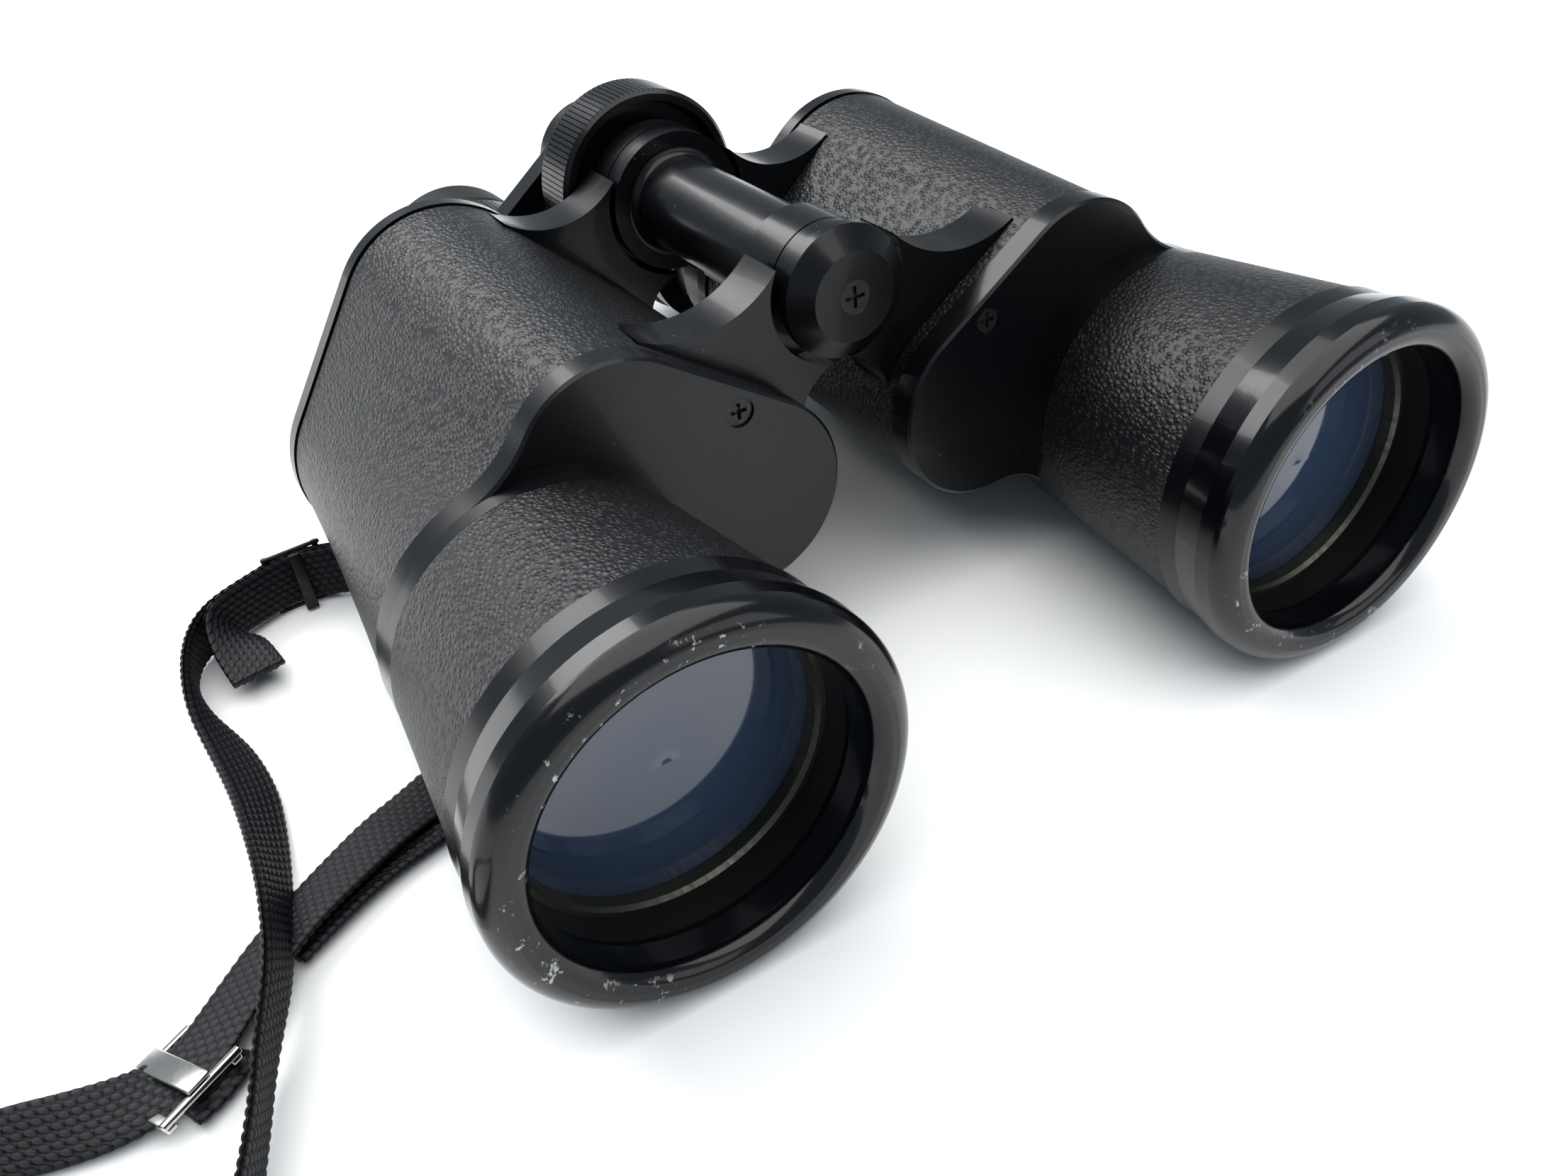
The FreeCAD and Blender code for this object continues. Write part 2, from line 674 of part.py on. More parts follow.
def countersunk(x, z, face, outward):
    """Hole for a screw sunk a little below the face; outward is -1 or +1 along Y."""
    inward = Vector(0, -outward, 0)
    top = Vector(x, face, z)
    seat = top + inward * COVER_SCREW_SINK
    hole = Part.makeCylinder(SCREW_SHANK + 0.1, 20, top, inward)
    recess = Part.makeCylinder(COVER_SCREW_HOLE, COVER_SCREW_SINK, top, inward)
    cone = Part.makeCone(
        COVER_SCREW_HEAD + 0.05, SCREW_SHANK + 0.1, SCREW_HEAD_DEPTH, seat, inward
    )
    return hole.fuse(recess).fuse(cone)


def housing_covers(name, side):
    """Front and rear covers: plates with a skirt that sleeves over the casting's rims."""
    face, depth, plate_depth = dim("cover_front"), dim("cover_depth"), dim("cover_plate")
    rim = RIM_INSET - 0.02
    front = slab(front_outline(0, face), depth)
    front = chamfered(front, face, 0.5)
    front = front.cut(slab(front_outline(rim, face + plate_depth), depth))
    barrel = objective_axis(RIGHT, face - 1)
    front = front.cut(rod(barrel, dim("spigot_radius"), depth + 2))
    front = front.cut(countersunk(*FRONT_SCREW, face, -1))
    cast(name + "_front_cover", mirrored(front, side))
    start = dim("housing_rear") + 0.05
    end = dim("housing_rear") + dim("rear_cover_depth")
    rear = slab(rear_outline(0, start), end - start)
    rear = chamfered(rear, end, 0.8)
    rear = rear.cut(slab(rear_outline(rim, start - 1), end - plate_depth - start + 1))
    rear = rear.cut(rod(eyepiece_axis(RIGHT, start - 1), dim("eyepiece_tube_radius") + 0.1, 10))
    for x, z in REAR_SCREWS:
        rear = rear.cut(countersunk(x, z, end, 1))
    cast(name + "_rear_cover", mirrored(rear, side))


def chamfered(solid, y, depth):
    """Break the sharp edge round the face that lies at y."""
    edges = [
        edge
        for edge in solid.Edges
        if abs(edge.BoundBox.YMin - y) < 0.001 and abs(edge.BoundBox.YMax - y) < 0.001
    ]
    return solid.makeChamfer(depth, edges)


def screw(base, way, length, head_radius):
    """Countersunk cross-head screw; base is the middle of its face, way points into the metal."""
    head = Part.makeCone(head_radius, SCREW_SHANK, SCREW_HEAD_DEPTH - 0.05, base, way)
    shank = Part.makeCylinder(SCREW_SHANK, length, base, way)
    slot_depth, slot_width, slot_length = 0.8, 0.7, head_radius * 1.3
    solid = head.fuse(shank)
    for across in ((slot_length, slot_width), (slot_width, slot_length)):
        corner = base + Vector(-across[0] / 2, 0, -across[1] / 2)
        corner.y = min(base.y, base.y + way.y * slot_depth)
        solid = solid.cut(Part.makeBox(across[0], slot_depth, across[1], corner))
    return solid


def cover_screws(name, side):
    start = dim("cover_front") + COVER_SCREW_SINK
    end = dim("housing_rear") + dim("rear_cover_depth") - COVER_SCREW_SINK
    x, z = FRONT_SCREW
    front = screw(Vector(x, start, z), Vector(0, 1, 0), 9, COVER_SCREW_HEAD)
    rear = [screw(Vector(x, end, z), Vector(0, -1, 0), 9, COVER_SCREW_HEAD) for x, z in REAR_SCREWS]
    cast(name + "_cover_screws", mirrored(Part.makeCompound([front] + rear), side))


def prism(first, second, width, face_y, forward):
    """Right-angle prism with cut corners, its long face at face_y, joining two beam axes."""
    way = Vector(second[0] - first[0], 0, second[1] - first[1])
    middle = Vector((first[0] + second[0]) / 2, face_y, (first[1] + second[1]) / 2)
    half = way.Length
    way.normalize()
    outline = [(-0.93, 0), (0.93, 0), (0.93, 0.07), (0.06, 0.94), (-0.06, 0.94), (-0.93, 0.07)]
    across = Vector(-way.z, 0, way.x)
    corners = [
        middle + way * (along * half) + Vector(0, forward * height * half, 0) - across * (width / 2)
        for along, height in outline
    ]
    return Part.Face(Part.makePolygon(corners + corners[:1])).extrude(across * width)


def prisms(name, side):
    """The two prisms of one half, long faces on either side of the shelf."""
    objective, between, eyepiece = beam_axes()
    behind = dim("shelf_front") + dim("shelf_thickness") + 0.05
    ahead = dim("shelf_front") - 0.05
    pair = [
        prism(objective, between, 21.0, behind, 1),
        prism(between, eyepiece, 19.0, ahead, -1),
    ]
    cast(name + "_prisms", mirrored(Part.makeCompound(pair), side))


# ---------------------------------------------------------------- hinge and focusing
def hinge_parts():
    lathe(
        "hinge_pin",
        [
            (0, 0),
            (0, "pin_radius"),
            (82.2, "pin_radius"),
            (82.2, "spindle_radius + 0.06"),
            (58.0, "spindle_radius + 0.06"),
            (56.0, 0),
        ],
        hinge_axis(0, 60.0),
    )
    lathe(
        "hinge_tube",
        [
            (0, "pin_radius + 0.02"),
            (0, "tube_radius"),
            (41.3, "tube_radius", 1.6, 1),
            (42.9, "tube_radius + 1.6"),
            (42.9, "pin_radius + 0.02"),
        ],
        hinge_axis(0, 73.8),
    )
    lathe(
        "hinge_cap",
        [
            (0, 3.05),
            (0, "cap_face_radius"),
            (3.0, "cap_rim_radius"),
            (4.8, "cap_rim_radius"),
            (4.8, 1.5),
            (1.6, 1.5),
        ],
        hinge_axis(0, dim("cap_front")),
    )
    face = hinge_axis(0, dim("cap_front") + 0.05)
    cast("hinge_cap_screw", screw(face, Vector(0, 1, 0), 4.9, CAP_SCREW_HEAD))


def focus_wheel():
    wheel = lathe(
        "focus_wheel",
        [
            (0, "wheel_radius - 0.8"),
            (0.9, "wheel_radius"),
            ("wheel_length - 0.9", "wheel_radius"),
            ("wheel_length", "wheel_radius - 0.8"),
            ("wheel_length", "pin_radius + running_gap"),
            (3.4, "pin_radius + running_gap"),
            (3.4, "wheel_radius - 3.0"),
            (0, "wheel_radius - 2.2"),
        ],
        hinge_axis(0, dim("wheel_front")),
    )
    knurl(wheel, "wheel_radius", 0.42, "wheel_teeth", "wheel_length")
    lathe(
        "wheel_nut",
        [
            (0, "pin_radius"),
            (0, 8.0),
            (1.4, 8.0),
            (1.4, "pin_radius"),
        ],
        hinge_axis(0, dim("wheel_front") + dim("wheel_length") + 0.15),
    )


ARM_GAP = 0.4


def bridge_arm(name, side):
    """Flat arm from the hub on the spindle to the ring round one eyepiece, drawn at -X.

    The two arms lie one behind the other, so that they can turn past each other.
    """
    width = (dim("arm_width") - ARM_GAP) / 2
    front = dim("arm_front") if side == RIGHT else dim("arm_front") + width + ARM_GAP
    hub, ring = dim("arm_hub_radius"), dim("arm_ring_radius")
    pivot, target = hinge_axis(), eyepiece_axis(RIGHT)
    upper = tangent_line((target.x, target.z, ring), (pivot.x, pivot.z, hub))
    lower = tangent_line((pivot.x, pivot.z, hub - 3.0), (target.x, target.z, ring - 3.0))
    corners = [c + Vector(0, front, 0) for c in (upper[0], upper[1], lower[0], lower[1])]
    solid = Part.Face(Part.makePolygon(corners + corners[:1])).extrude(Vector(0, width, 0))
    solid = solid.fuse(rod(target + Vector(0, front, 0), ring, width))
    solid = solid.fuse(rod(pivot + Vector(0, front, 0), hub, width))
    solid = solid.cut(rod(target + Vector(0, front - 1, 0), dim("eyepiece_tube_radius"), 20))
    bore = SPINDLE_HEAD if side == RIGHT else SPINDLE_HEAD + dim("running_gap")
    solid = solid.cut(rod(pivot + Vector(0, front - 1, 0), bore, 20))
    cast(name + "_bridge_arm", mirrored(solid.removeSplitter(), side))


SPINDLE_HEAD = 4.0


def focus_spindle():
    """Screw that the wheel drives in and out of the pin, and the cap that holds the arms on it."""
    lathe(
        "focus_spindle",
        [
            (0, 0),
            (0, "spindle_radius"),
            (19.8, "spindle_radius"),
            (20.0, SPINDLE_HEAD),
            (31.4, SPINDLE_HEAD),
            (31.4, 0),
        ],
        hinge_axis(0, 126.0),
    )
    lathe(
        "bridge_cap",
        [
            (0, 4.02),
            (0, 9.5),
            (2.2, 9.5),
            (3.4, 8.0),
            (3.4, 0),
            (0.3, 0),
            (0.3, 4.02),
        ],
        hinge_axis(0, dim("arm_front") + dim("arm_width") + 0.15),
    )


# ---------------------------------------------------------------- eyepieces
def eyepiece(name, side):
    """Guide on the housing; sliding tube; ocular cell with its two lenses; ring and eyecup."""
    guide_start = dim("housing_rear") + dim("rear_cover_depth")
    lathe(
        name + "_eyepiece_guide",
        [
            (0, "eyepiece_tube_radius + running_gap"),
            (0, "guide_radius"),
            (8.6, "guide_radius"),
            (9.4, "guide_radius - 0.8"),
            (9.4, "eyepiece_tube_radius + running_gap"),
        ],
        eyepiece_axis(side, guide_start),
    )
    lathe(
        name + "_eyepiece_tube",
        [
            (0, 12.7),
            (0, "eyepiece_tube_radius"),
            (24.1, "eyepiece_tube_radius"),
            (24.1, 16.4),
            (27.6, 15.8),
            (27.6, "eyepiece_tube_radius"),
            (38.5, "eyepiece_tube_radius"),
            (38.5, 12.7),
        ],
        eyepiece_axis(side, 133.0),
    )
    lathe(
        name + "_ocular_cell",
        [
            (0, 10.8),
            (0, 12.65),
            (24.9, 12.65),
            (24.9, "eyepiece_tube_radius + 0.1"),
            (14.4, "eyepiece_tube_radius + 0.1"),
            (14.4, "skirt_radius"),
            (26.4, "skirt_radius"),
            (26.4, 13.6),
            (31.8, 13.6),
            (31.8, 10.8),
        ],
        eyepiece_axis(side, 148.0),
    )
    lathe(
        name + "_field_lens",
        [
            (1.2, 10.75),
            (4.6, 10.75, dome("1.2", "10.75"), -1),
            (5.8, 0),
            (0, 0, dome("1.2", "10.75"), -1),
        ],
        eyepiece_axis(side, 149.5),
    )
    lathe(
        name + "_eye_lens",
        [
            (1.4, 10.75),
            (5.0, 10.75, dome("1.0", "10.75"), -1),
            (6.0, 0),
            (0, 0, dome("1.4", "10.75"), -1),
        ],
        eyepiece_axis(side, 172.5),
    )
    ring_name = "right_dioptre_ring" if side == RIGHT else "left_eyepiece_ring"
    ring = lathe(
        ring_name,
        [
            (0, "skirt_radius + running_gap"),
            (0, "dioptre_radius - 0.9"),
            (0.9, "dioptre_radius"),
            (10.3, "dioptre_radius"),
            (11.2, "dioptre_radius - 0.9"),
            (11.2, "skirt_radius + running_gap"),
        ],
        eyepiece_axis(side, 162.6),
    )
    knurl(ring, "dioptre_radius", 0.42, "dioptre_teeth", "11.2")
    lathe(
        name + "_eyecup",
        [
            (0, 13.65),
            (0, "dioptre_radius - 1.6"),
            (2.5, "dioptre_radius - 0.4"),
            ("eyecup_length - 2.0", "eyecup_radius"),
            ("eyecup_length", "eyecup_radius - 1.6"),
            ("eyecup_length", "eyecup_radius - 2.6"),
            (9.0, "eyecup_radius - 5.6"),
            (6.4, 11.6),
            (5.2, 10.9),
            (5.2, 13.65),
        ],
        eyepiece_axis(side, 174.6),
    )


# ---------------------------------------------------------------- strap and its lugs
LUG_ANGLE = 50.0
LUG_Y = 119.6
LUG_LENGTH = 14.6
LUG_REACH = 4.4
LUG_THICKNESS = 2.4
LUG_SLOT = 2.1
LUG_BAR = 1.6
LUG_ROOT = 4.0  # how far the eye's foot reaches into the housing
LUG_CORNER = 2.2
SLOT_PLAY = 1.2  # how much longer than the webbing's width a slot is


def lug_way(side):
    """Outward direction of a strap lug, square to the covered side of the housing."""
    angle = math.radians(LUG_ANGLE)
    return Vector(side * math.cos(angle), 0, -math.sin(angle))


def lug_face(side):
    """Middle of a strap lug's outer face, in the optical frame."""
    fraction = (LUG_Y - dim("housing_front")) / (dim("housing_rear") - dim("housing_front"))
    radius = dim("barrel_lobe") + (dim("rear_lobe") - dim("barrel_lobe")) * fraction
    return objective_axis(side, LUG_Y) + lug_way(side) * (radius - 0.3 + LUG_REACH)


def strap_lug(name, side):
    """Cast eye low on the outer side of the housing, with a slot for the webbing."""
    depth = LUG_REACH + LUG_ROOT
    eye = Part.makeBox(depth, LUG_LENGTH, LUG_THICKNESS, Vector(-depth, -LUG_LENGTH / 2, -LUG_THICKNESS / 2))
    corners = [e for e in eye.Edges if abs(e.BoundBox.XMin) < 0.01 and e.BoundBox.ZLength > 2]
    eye = eye.makeFillet(LUG_CORNER, corners)
    slot_length = dim("strap_width") + SLOT_PLAY
    slot = Part.makeBox(LUG_SLOT, slot_length, 10, Vector(-LUG_BAR - LUG_SLOT, -slot_length / 2, -5))
    eye = eye.cut(slot)
    eye.Placement = Placement(lug_face(RIGHT), Rotation(Vector(0, 1, 0), 180 - LUG_ANGLE))
    cast(name + "_strap_lug", mirrored(eye.cut(housing_loft(0.3)), side))


# The strap's route, by hand, on the table: the stretches between its fittings, middle line.
GLIDE_LENGTH = 11.6
GLIDE_WIDTH = 13.2
GLIDE_THICKNESS = 1.4
GLIDE_BAR = 1.6
GLIDE_CORNER = 1.2
GLIDE_HEIGHT = 6.7
TAB_LENGTH = 5.0
TAB_THICKNESS = 1.6
LONG_RUN = [
    (-106.0, 26.0, 6.2),
    (-114.8, 20.5, 5.2),
    (-119.2, 6.0, 5.0),
    (-117.5, -13.0, 7.0),
    (-115.8, -31.0, 13.5),
    (-116.8, -49.0, 18.5),
    (-122.5, -68.0, 18.5),
    (-132.5, -89.0, 11.0),
    (-146.0, -112.0, 5.2),
    (-161.0, -143.0, 5.0),
    (-184.0, -164.0, 5.0),
    (-211.0, -163.0, 5.0),
    (-228.0, -142.0, 5.0),
    (-231.0, -113.0, 5.0),
    (-219.0, -87.0, 5.0),
    (-196.0, -72.0, 5.0),
    (-172.0, -73.0, 5.0),
    (-154.0, -78.5, 5.0),
]
LOOP_GLIDE = Vector(-133.5, -68.0, 5.0)
LOOP_GLIDE_HEADING = 33.0
SHORT_RUN = [
    (-121.0, -59.3, 5.0),
    (-111.5, -53.6, 5.0),
    (-100.6, -48.5, 5.0),
]
UNDER_START = Vector(-91.0, -43.0, 5.0)
UNDER_HEADING = 30.0
UNDER_LENGTH = 60.0
UNDER_THICKNESS = 0.6
REAR_RUN = [
    (-28.6, -7.0, 5.0),
    (-15.0, 4.0, 5.0),
    (0.0, 17.5, 5.0),
    (17.0, 31.5, 5.0),
    (37.0, 44.5, 5.0),
    (57.0, 56.5, 5.0),
    (76.0, 66.0, 5.0),
    (93.0, 71.0, 5.0),
    (106.0, 68.5, 5.0),
]
LEFT_BEND = Vector(113.5, 58.6, 5.1)
LEFT_STEP = 12.0
LEFT_EXIT = [
    (105.0, 28.2, 6.4),
    (95.5, 26.3, 5.6),
]
LEFT_TAB_HEIGHT = 5.2


def flat_way(heading):
    angle = math.radians(heading)
    return Vector(math.cos(angle), math.sin(angle), 0)


def rounded_path(label, points):
    """Straight runs joined by tangent arcs, each as large as its two runs allow."""
    edges = []
    radii = []
    last = points[0]
    for i in range(1, len(points) - 1):
        corner = points[i]
        back, ahead = points[i - 1] - corner, points[i + 1] - corner
        shorter = min(back.Length, ahead.Length)
        turn = math.pi - back.getAngle(ahead)
        radii.append(0.45 * shorter / math.tan(turn / 2))
        back.normalize()
        ahead.normalize()
        start, end = corner + back * (0.45 * shorter), corner + ahead * (0.45 * shorter)
        inward = (back + ahead).normalize()
        middle = corner + inward * (radii[-1] / math.cos(turn / 2) - radii[-1])
        edges.append(Part.LineSegment(last, start).toShape())
        edges.append(Part.Arc(start, middle, end).toShape())
        last = end
    edges.append(Part.LineSegment(last, points[-1]).toShape())
    print(label, "radii", " ".join("%.0f" % r for r in radii))
    return Part.Wire(edges)


def strap_tube(label, points, tab=None):
    """Plain tube, as wide as the webbing, along one stretch of the strap."""
    path = rounded_path(label, points)
    radius = dim("strap_width") / 2
    profile = Part.Wire([Part.Circle(points[0], points[1] - points[0], radius).toShape()])
    tube = path.makePipeShell([profile], True, False)
    wanted = math.pi * radius**2 * path.Length
    print("%s length %.1f, volume %.4f of section times length" % (label, path.Length, tube.Volume / wanted))
    on_table(label, tube if tab is None else tube.fuse(tab))
    return path.Length


def on_table(label, shape):
    """A piece drawn where it lies on the table, outside the optical frame."""
    feature = doc.addObject("Part::Feature", label)
    feature.Label = label
    feature.Shape = shape
    return feature


def tri_glide(label, middle, way, across):
    """Three-bar slide: a flat frame with two slots, its length along the strap."""
    length, width, thickness = GLIDE_LENGTH, GLIDE_WIDTH, GLIDE_THICKNESS
    frame = Part.makeBox(length, width, thickness, Vector(-length / 2, -width / 2, -thickness / 2))
    frame = frame.makeFillet(GLIDE_CORNER, [e for e in frame.Edges if e.BoundBox.ZLength > thickness / 2])
    slot_width = dim("strap_width") + SLOT_PLAY
    slot_length = (length - 3 * GLIDE_BAR) / 2
    for x in (GLIDE_BAR / 2, -GLIDE_BAR / 2 - slot_length):
        frame = frame.cut(Part.makeBox(slot_length, slot_width, 6, Vector(x, -slot_width / 2, -3)))
    frame.Placement = Placement(middle, Rotation(way, across, way.cross(across), "XYZ"))
    on_table(label, frame)


def strap_end(middle, half_width, half_thickness):
    """Cut across the webbing; the two vectors run from its middle to an edge and to a face."""
    corners = [middle + half_width + half_thickness, middle - half_width + half_thickness]
    corners += [middle - half_width - half_thickness, middle + half_width - half_thickness]
    return Part.makePolygon(corners + corners[:1])


def strap():
    """The strap from the right lug, round its loop, under the right half and to the left lug."""
    lug = REST.multVec(lug_face(RIGHT))
    lug_out = REST.Rotation.multVec(lug_way(RIGHT))
    along = REST.Rotation.multVec(Vector(0, 1, 0))
    level, upright = Vector(-1, 0, 0), Vector(0, 0, 1)
    glide_start = Vector(lug.x - TAB_LENGTH, lug.y, GLIDE_HEIGHT)
    glide_end = glide_start + level * GLIDE_LENGTH
    half_width, half_thickness = dim("strap_width") / 2, TAB_THICKNESS / 2
    tab_ends = [
        strap_end(lug, along * half_width, lug_out.cross(along) * half_thickness),
        strap_end(glide_start, along * half_thickness, upright * -half_width),
    ]
    on_table("strap_right_tab", Part.makeLoft(tab_ends, True, True))
    tri_glide("strap_right_glide", (glide_start + glide_end) * 0.5, level, upright)

    loop_way = flat_way(LOOP_GLIDE_HEADING)
    loop_start = LOOP_GLIDE - loop_way * (GLIDE_LENGTH / 2)
    loop_end = LOOP_GLIDE + loop_way * (GLIDE_LENGTH / 2)
    tri_glide("strap_loop_glide", LOOP_GLIDE, loop_way, upright.cross(loop_way))
    total = TAB_LENGTH + 2 * GLIDE_LENGTH + UNDER_LENGTH
    total += strap_tube("strap_long_run", [glide_end] + [Vector(*p) for p in LONG_RUN] + [loop_start])
    total += strap_tube("strap_short_run", [loop_end] + [Vector(*p) for p in SHORT_RUN] + [UNDER_START])

    under_way = flat_way(UNDER_HEADING)
    strip = Part.makeBox(
        UNDER_LENGTH, dim("strap_width"), UNDER_THICKNESS, Vector(0, -dim("strap_width") / 2, 0)
    )
    floor_start = Vector(UNDER_START.x, UNDER_START.y, 0.04)
    strip.Placement = Placement(floor_start, Rotation(Vector(0, 0, 1), UNDER_HEADING))
    on_table("strap_under_right_half", strip)

    # The last stretch turns with the left half, so the two meet square to the hinge.
    seam = LEFT_BEND - along * LEFT_STEP
    rear = [UNDER_START + under_way * UNDER_LENGTH] + [Vector(*p) for p in REAR_RUN] + [LEFT_BEND, seam]
    total += strap_tube("strap_rear_run", rear)
    left_lug = REST.multVec(lug_face(LEFT))
    left_out = REST.Rotation.multVec(lug_way(LEFT))
    left_start = Vector(left_lug.x + TAB_LENGTH, left_lug.y, LEFT_TAB_HEIGHT)
    left_ends = [
        strap_end(left_lug, along * half_width, left_out.cross(along) * half_thickness),
        strap_end(left_start, along * half_width, upright * half_thickness),
    ]
    end = [seam - along * 0.05, seam - along * LEFT_STEP]
    end += [Vector(*p) for p in LEFT_EXIT] + [left_start]
    total += strap_tube("strap_left_end", end, Part.makeLoft(left_ends, True, True))
    print("strap length %.0f" % total)


def build():
    for name, side in SIDES.items():
        objective_ring(name, side)
        objective_barrel(name, side)
        barrel_covering(name, side)
        objective_optics(name, side)
        prism_housing(name, side)
        housing_covering(name, side)
        housing_covers(name, side)
        cover_screws(name, side)
        prisms(name, side)
        strap_lug(name, side)
        bridge_arm(name, side)
        eyepiece(name, side)
    hinge_parts()
    focus_wheel()
    focus_spindle()
    strap()


build()
doc.recompute()
os.makedirs("parts", exist_ok=True)
for thing in doc.Objects:
    if {"Invalid", "Error"} & set(thing.State):
        raise RuntimeError("%s did not compute: %s" % (thing.Label, thing.State))
pieces = [t for t in doc.RootObjects if t.isDerivedFrom("Part::Feature")]
box = FreeCAD.BoundBox()
for piece in pieces:
    if piece.Shape.isNull() or not piece.Shape.isValid():
        raise RuntimeError(piece.Label + " has no valid shape")
    piece.Shape.exportStep("parts/%s.step" % piece.Label)
    if not piece.Label.startswith("strap_"):
        box.add(piece.Shape.optimalBoundingBox(False))
print(len(pieces), "pieces; tilt %.2f" % TILT)
print("box", box)
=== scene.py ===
import json
import math

import bpy
from mathutils import Matrix, Vector


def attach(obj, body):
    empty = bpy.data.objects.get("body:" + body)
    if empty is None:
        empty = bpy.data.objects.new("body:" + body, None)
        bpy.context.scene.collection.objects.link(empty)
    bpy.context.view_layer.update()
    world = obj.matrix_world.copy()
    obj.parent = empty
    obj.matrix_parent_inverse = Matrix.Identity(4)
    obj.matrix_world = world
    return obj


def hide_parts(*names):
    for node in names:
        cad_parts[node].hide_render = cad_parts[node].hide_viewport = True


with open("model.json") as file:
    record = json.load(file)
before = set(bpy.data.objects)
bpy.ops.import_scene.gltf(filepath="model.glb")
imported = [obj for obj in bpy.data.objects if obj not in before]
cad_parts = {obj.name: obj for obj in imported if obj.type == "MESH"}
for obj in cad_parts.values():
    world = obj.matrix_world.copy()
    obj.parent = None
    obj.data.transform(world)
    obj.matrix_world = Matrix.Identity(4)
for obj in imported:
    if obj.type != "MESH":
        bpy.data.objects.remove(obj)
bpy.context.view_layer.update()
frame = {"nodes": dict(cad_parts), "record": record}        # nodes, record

MM = 0.001

# ---------------------------------------------------------------- where things are
# The optical frame of the model's source, in millimetres: +Y runs from the objectives to the
# eyepieces, +X to the user's left, +Z up, and the origin lies midway between the objectives.
RING_RADIUS = 32.7
REAR_LOBE = 21.0
RING_REST = 5.0
REAR_REST = 130.7
SHIFT_Y = -93.8
TILT = math.atan2(RING_RADIUS - REAR_LOBE, REAR_REST - RING_REST)
LIP_FRONT = -1.6


def turned(x, y, z):
    """A direction of the optical frame, in the row frame."""
    sine, cosine = math.sin(TILT), math.cos(TILT)
    return Vector((x, y * cosine + z * sine, z * cosine - y * sine))


LIFT = -turned(0, RING_REST, -RING_RADIUS).z


def lay(x, y, z):
    """A point of the optical frame, in the row frame and in metres."""
    return (turned(x, y, z) + Vector((0, SHIFT_Y, LIFT))) * MM


# ---------------------------------------------------------------- camera
def add_camera():
    """Low wide view from the front, over the right half."""
    azimuth, elevation, roll = (math.radians(v) for v in (-28.41, 35.64, 5.95))
    distance, aside, down = 200.89, -43.7, -7.3
    back = Vector((
        math.sin(azimuth) * math.cos(elevation),
        -math.cos(azimuth) * math.cos(elevation),
        math.sin(elevation),
    ))
    ahead = -back
    level = ahead.cross(Vector((0, 0, 1))).normalized()
    below = ahead.cross(level)
    right = level * math.cos(roll) + below * math.sin(roll)
    bottom = below * math.cos(roll) - level * math.sin(roll)
    place = lay(*(back * distance + right * aside + bottom * down))
    camera_data = bpy.data.cameras.new("camera")
    camera_data.sensor_width = 36.0
    camera_data.lens = 30.685
    camera_data.clip_start = 0.01
    camera_data.clip_end = 10
    camera = bpy.data.objects.new("camera", camera_data)
    bpy.context.scene.collection.objects.link(camera)
    axes = (turned(*right), turned(*(-bottom)), turned(*back))
    camera.matrix_world = Matrix.Translation(place) @ Matrix(axes).transposed().to_4x4()
    bpy.context.scene.camera = camera


add_camera()


# ---------------------------------------------------------------- mesh helpers
def add_object(name, data):
    thing = bpy.data.objects.new(name, data)
    bpy.context.scene.collection.objects.link(thing)
    return thing


def add_mesh(name, vertices, faces, smooth=True, uvs=None):
    mesh = bpy.data.meshes.new(name)
    mesh.from_pydata([tuple(v) for v in vertices], [], faces)
    if uvs:
        layer = mesh.uv_layers.new(name="UVMap")
        for loop in mesh.loops:
            layer.data[loop.index].uv = uvs[loop.vertex_index]
    mesh.validate()
    for polygon in mesh.polygons:
        polygon.use_smooth = smooth
    mesh.update()
    return add_object(name, mesh)


def spline_points(points, steps):
    """Points along the smooth NURBS line that the given control points pull."""
    curve = bpy.data.curves.new("line", "CURVE")
    curve.dimensions = "3D"
    curve.resolution_u = steps
    spline = curve.splines.new("NURBS")
    spline.points.add(len(points) - 1)
    for knot, point in zip(spline.points, points):
        knot.co = (*point, 1)
    spline.order_u = 3
    spline.use_endpoint_u = True
    thing = bpy.data.objects.new("line", curve)
    bpy.context.scene.collection.objects.link(thing)
    graph = bpy.context.evaluated_depsgraph_get()
    mesh = bpy.data.meshes.new_from_object(thing.evaluated_get(graph))
    line = [vertex.co.copy() for vertex in mesh.vertices]
    bpy.data.meshes.remove(mesh)
    bpy.data.objects.remove(thing)
    bpy.data.curves.remove(curve)
    return line


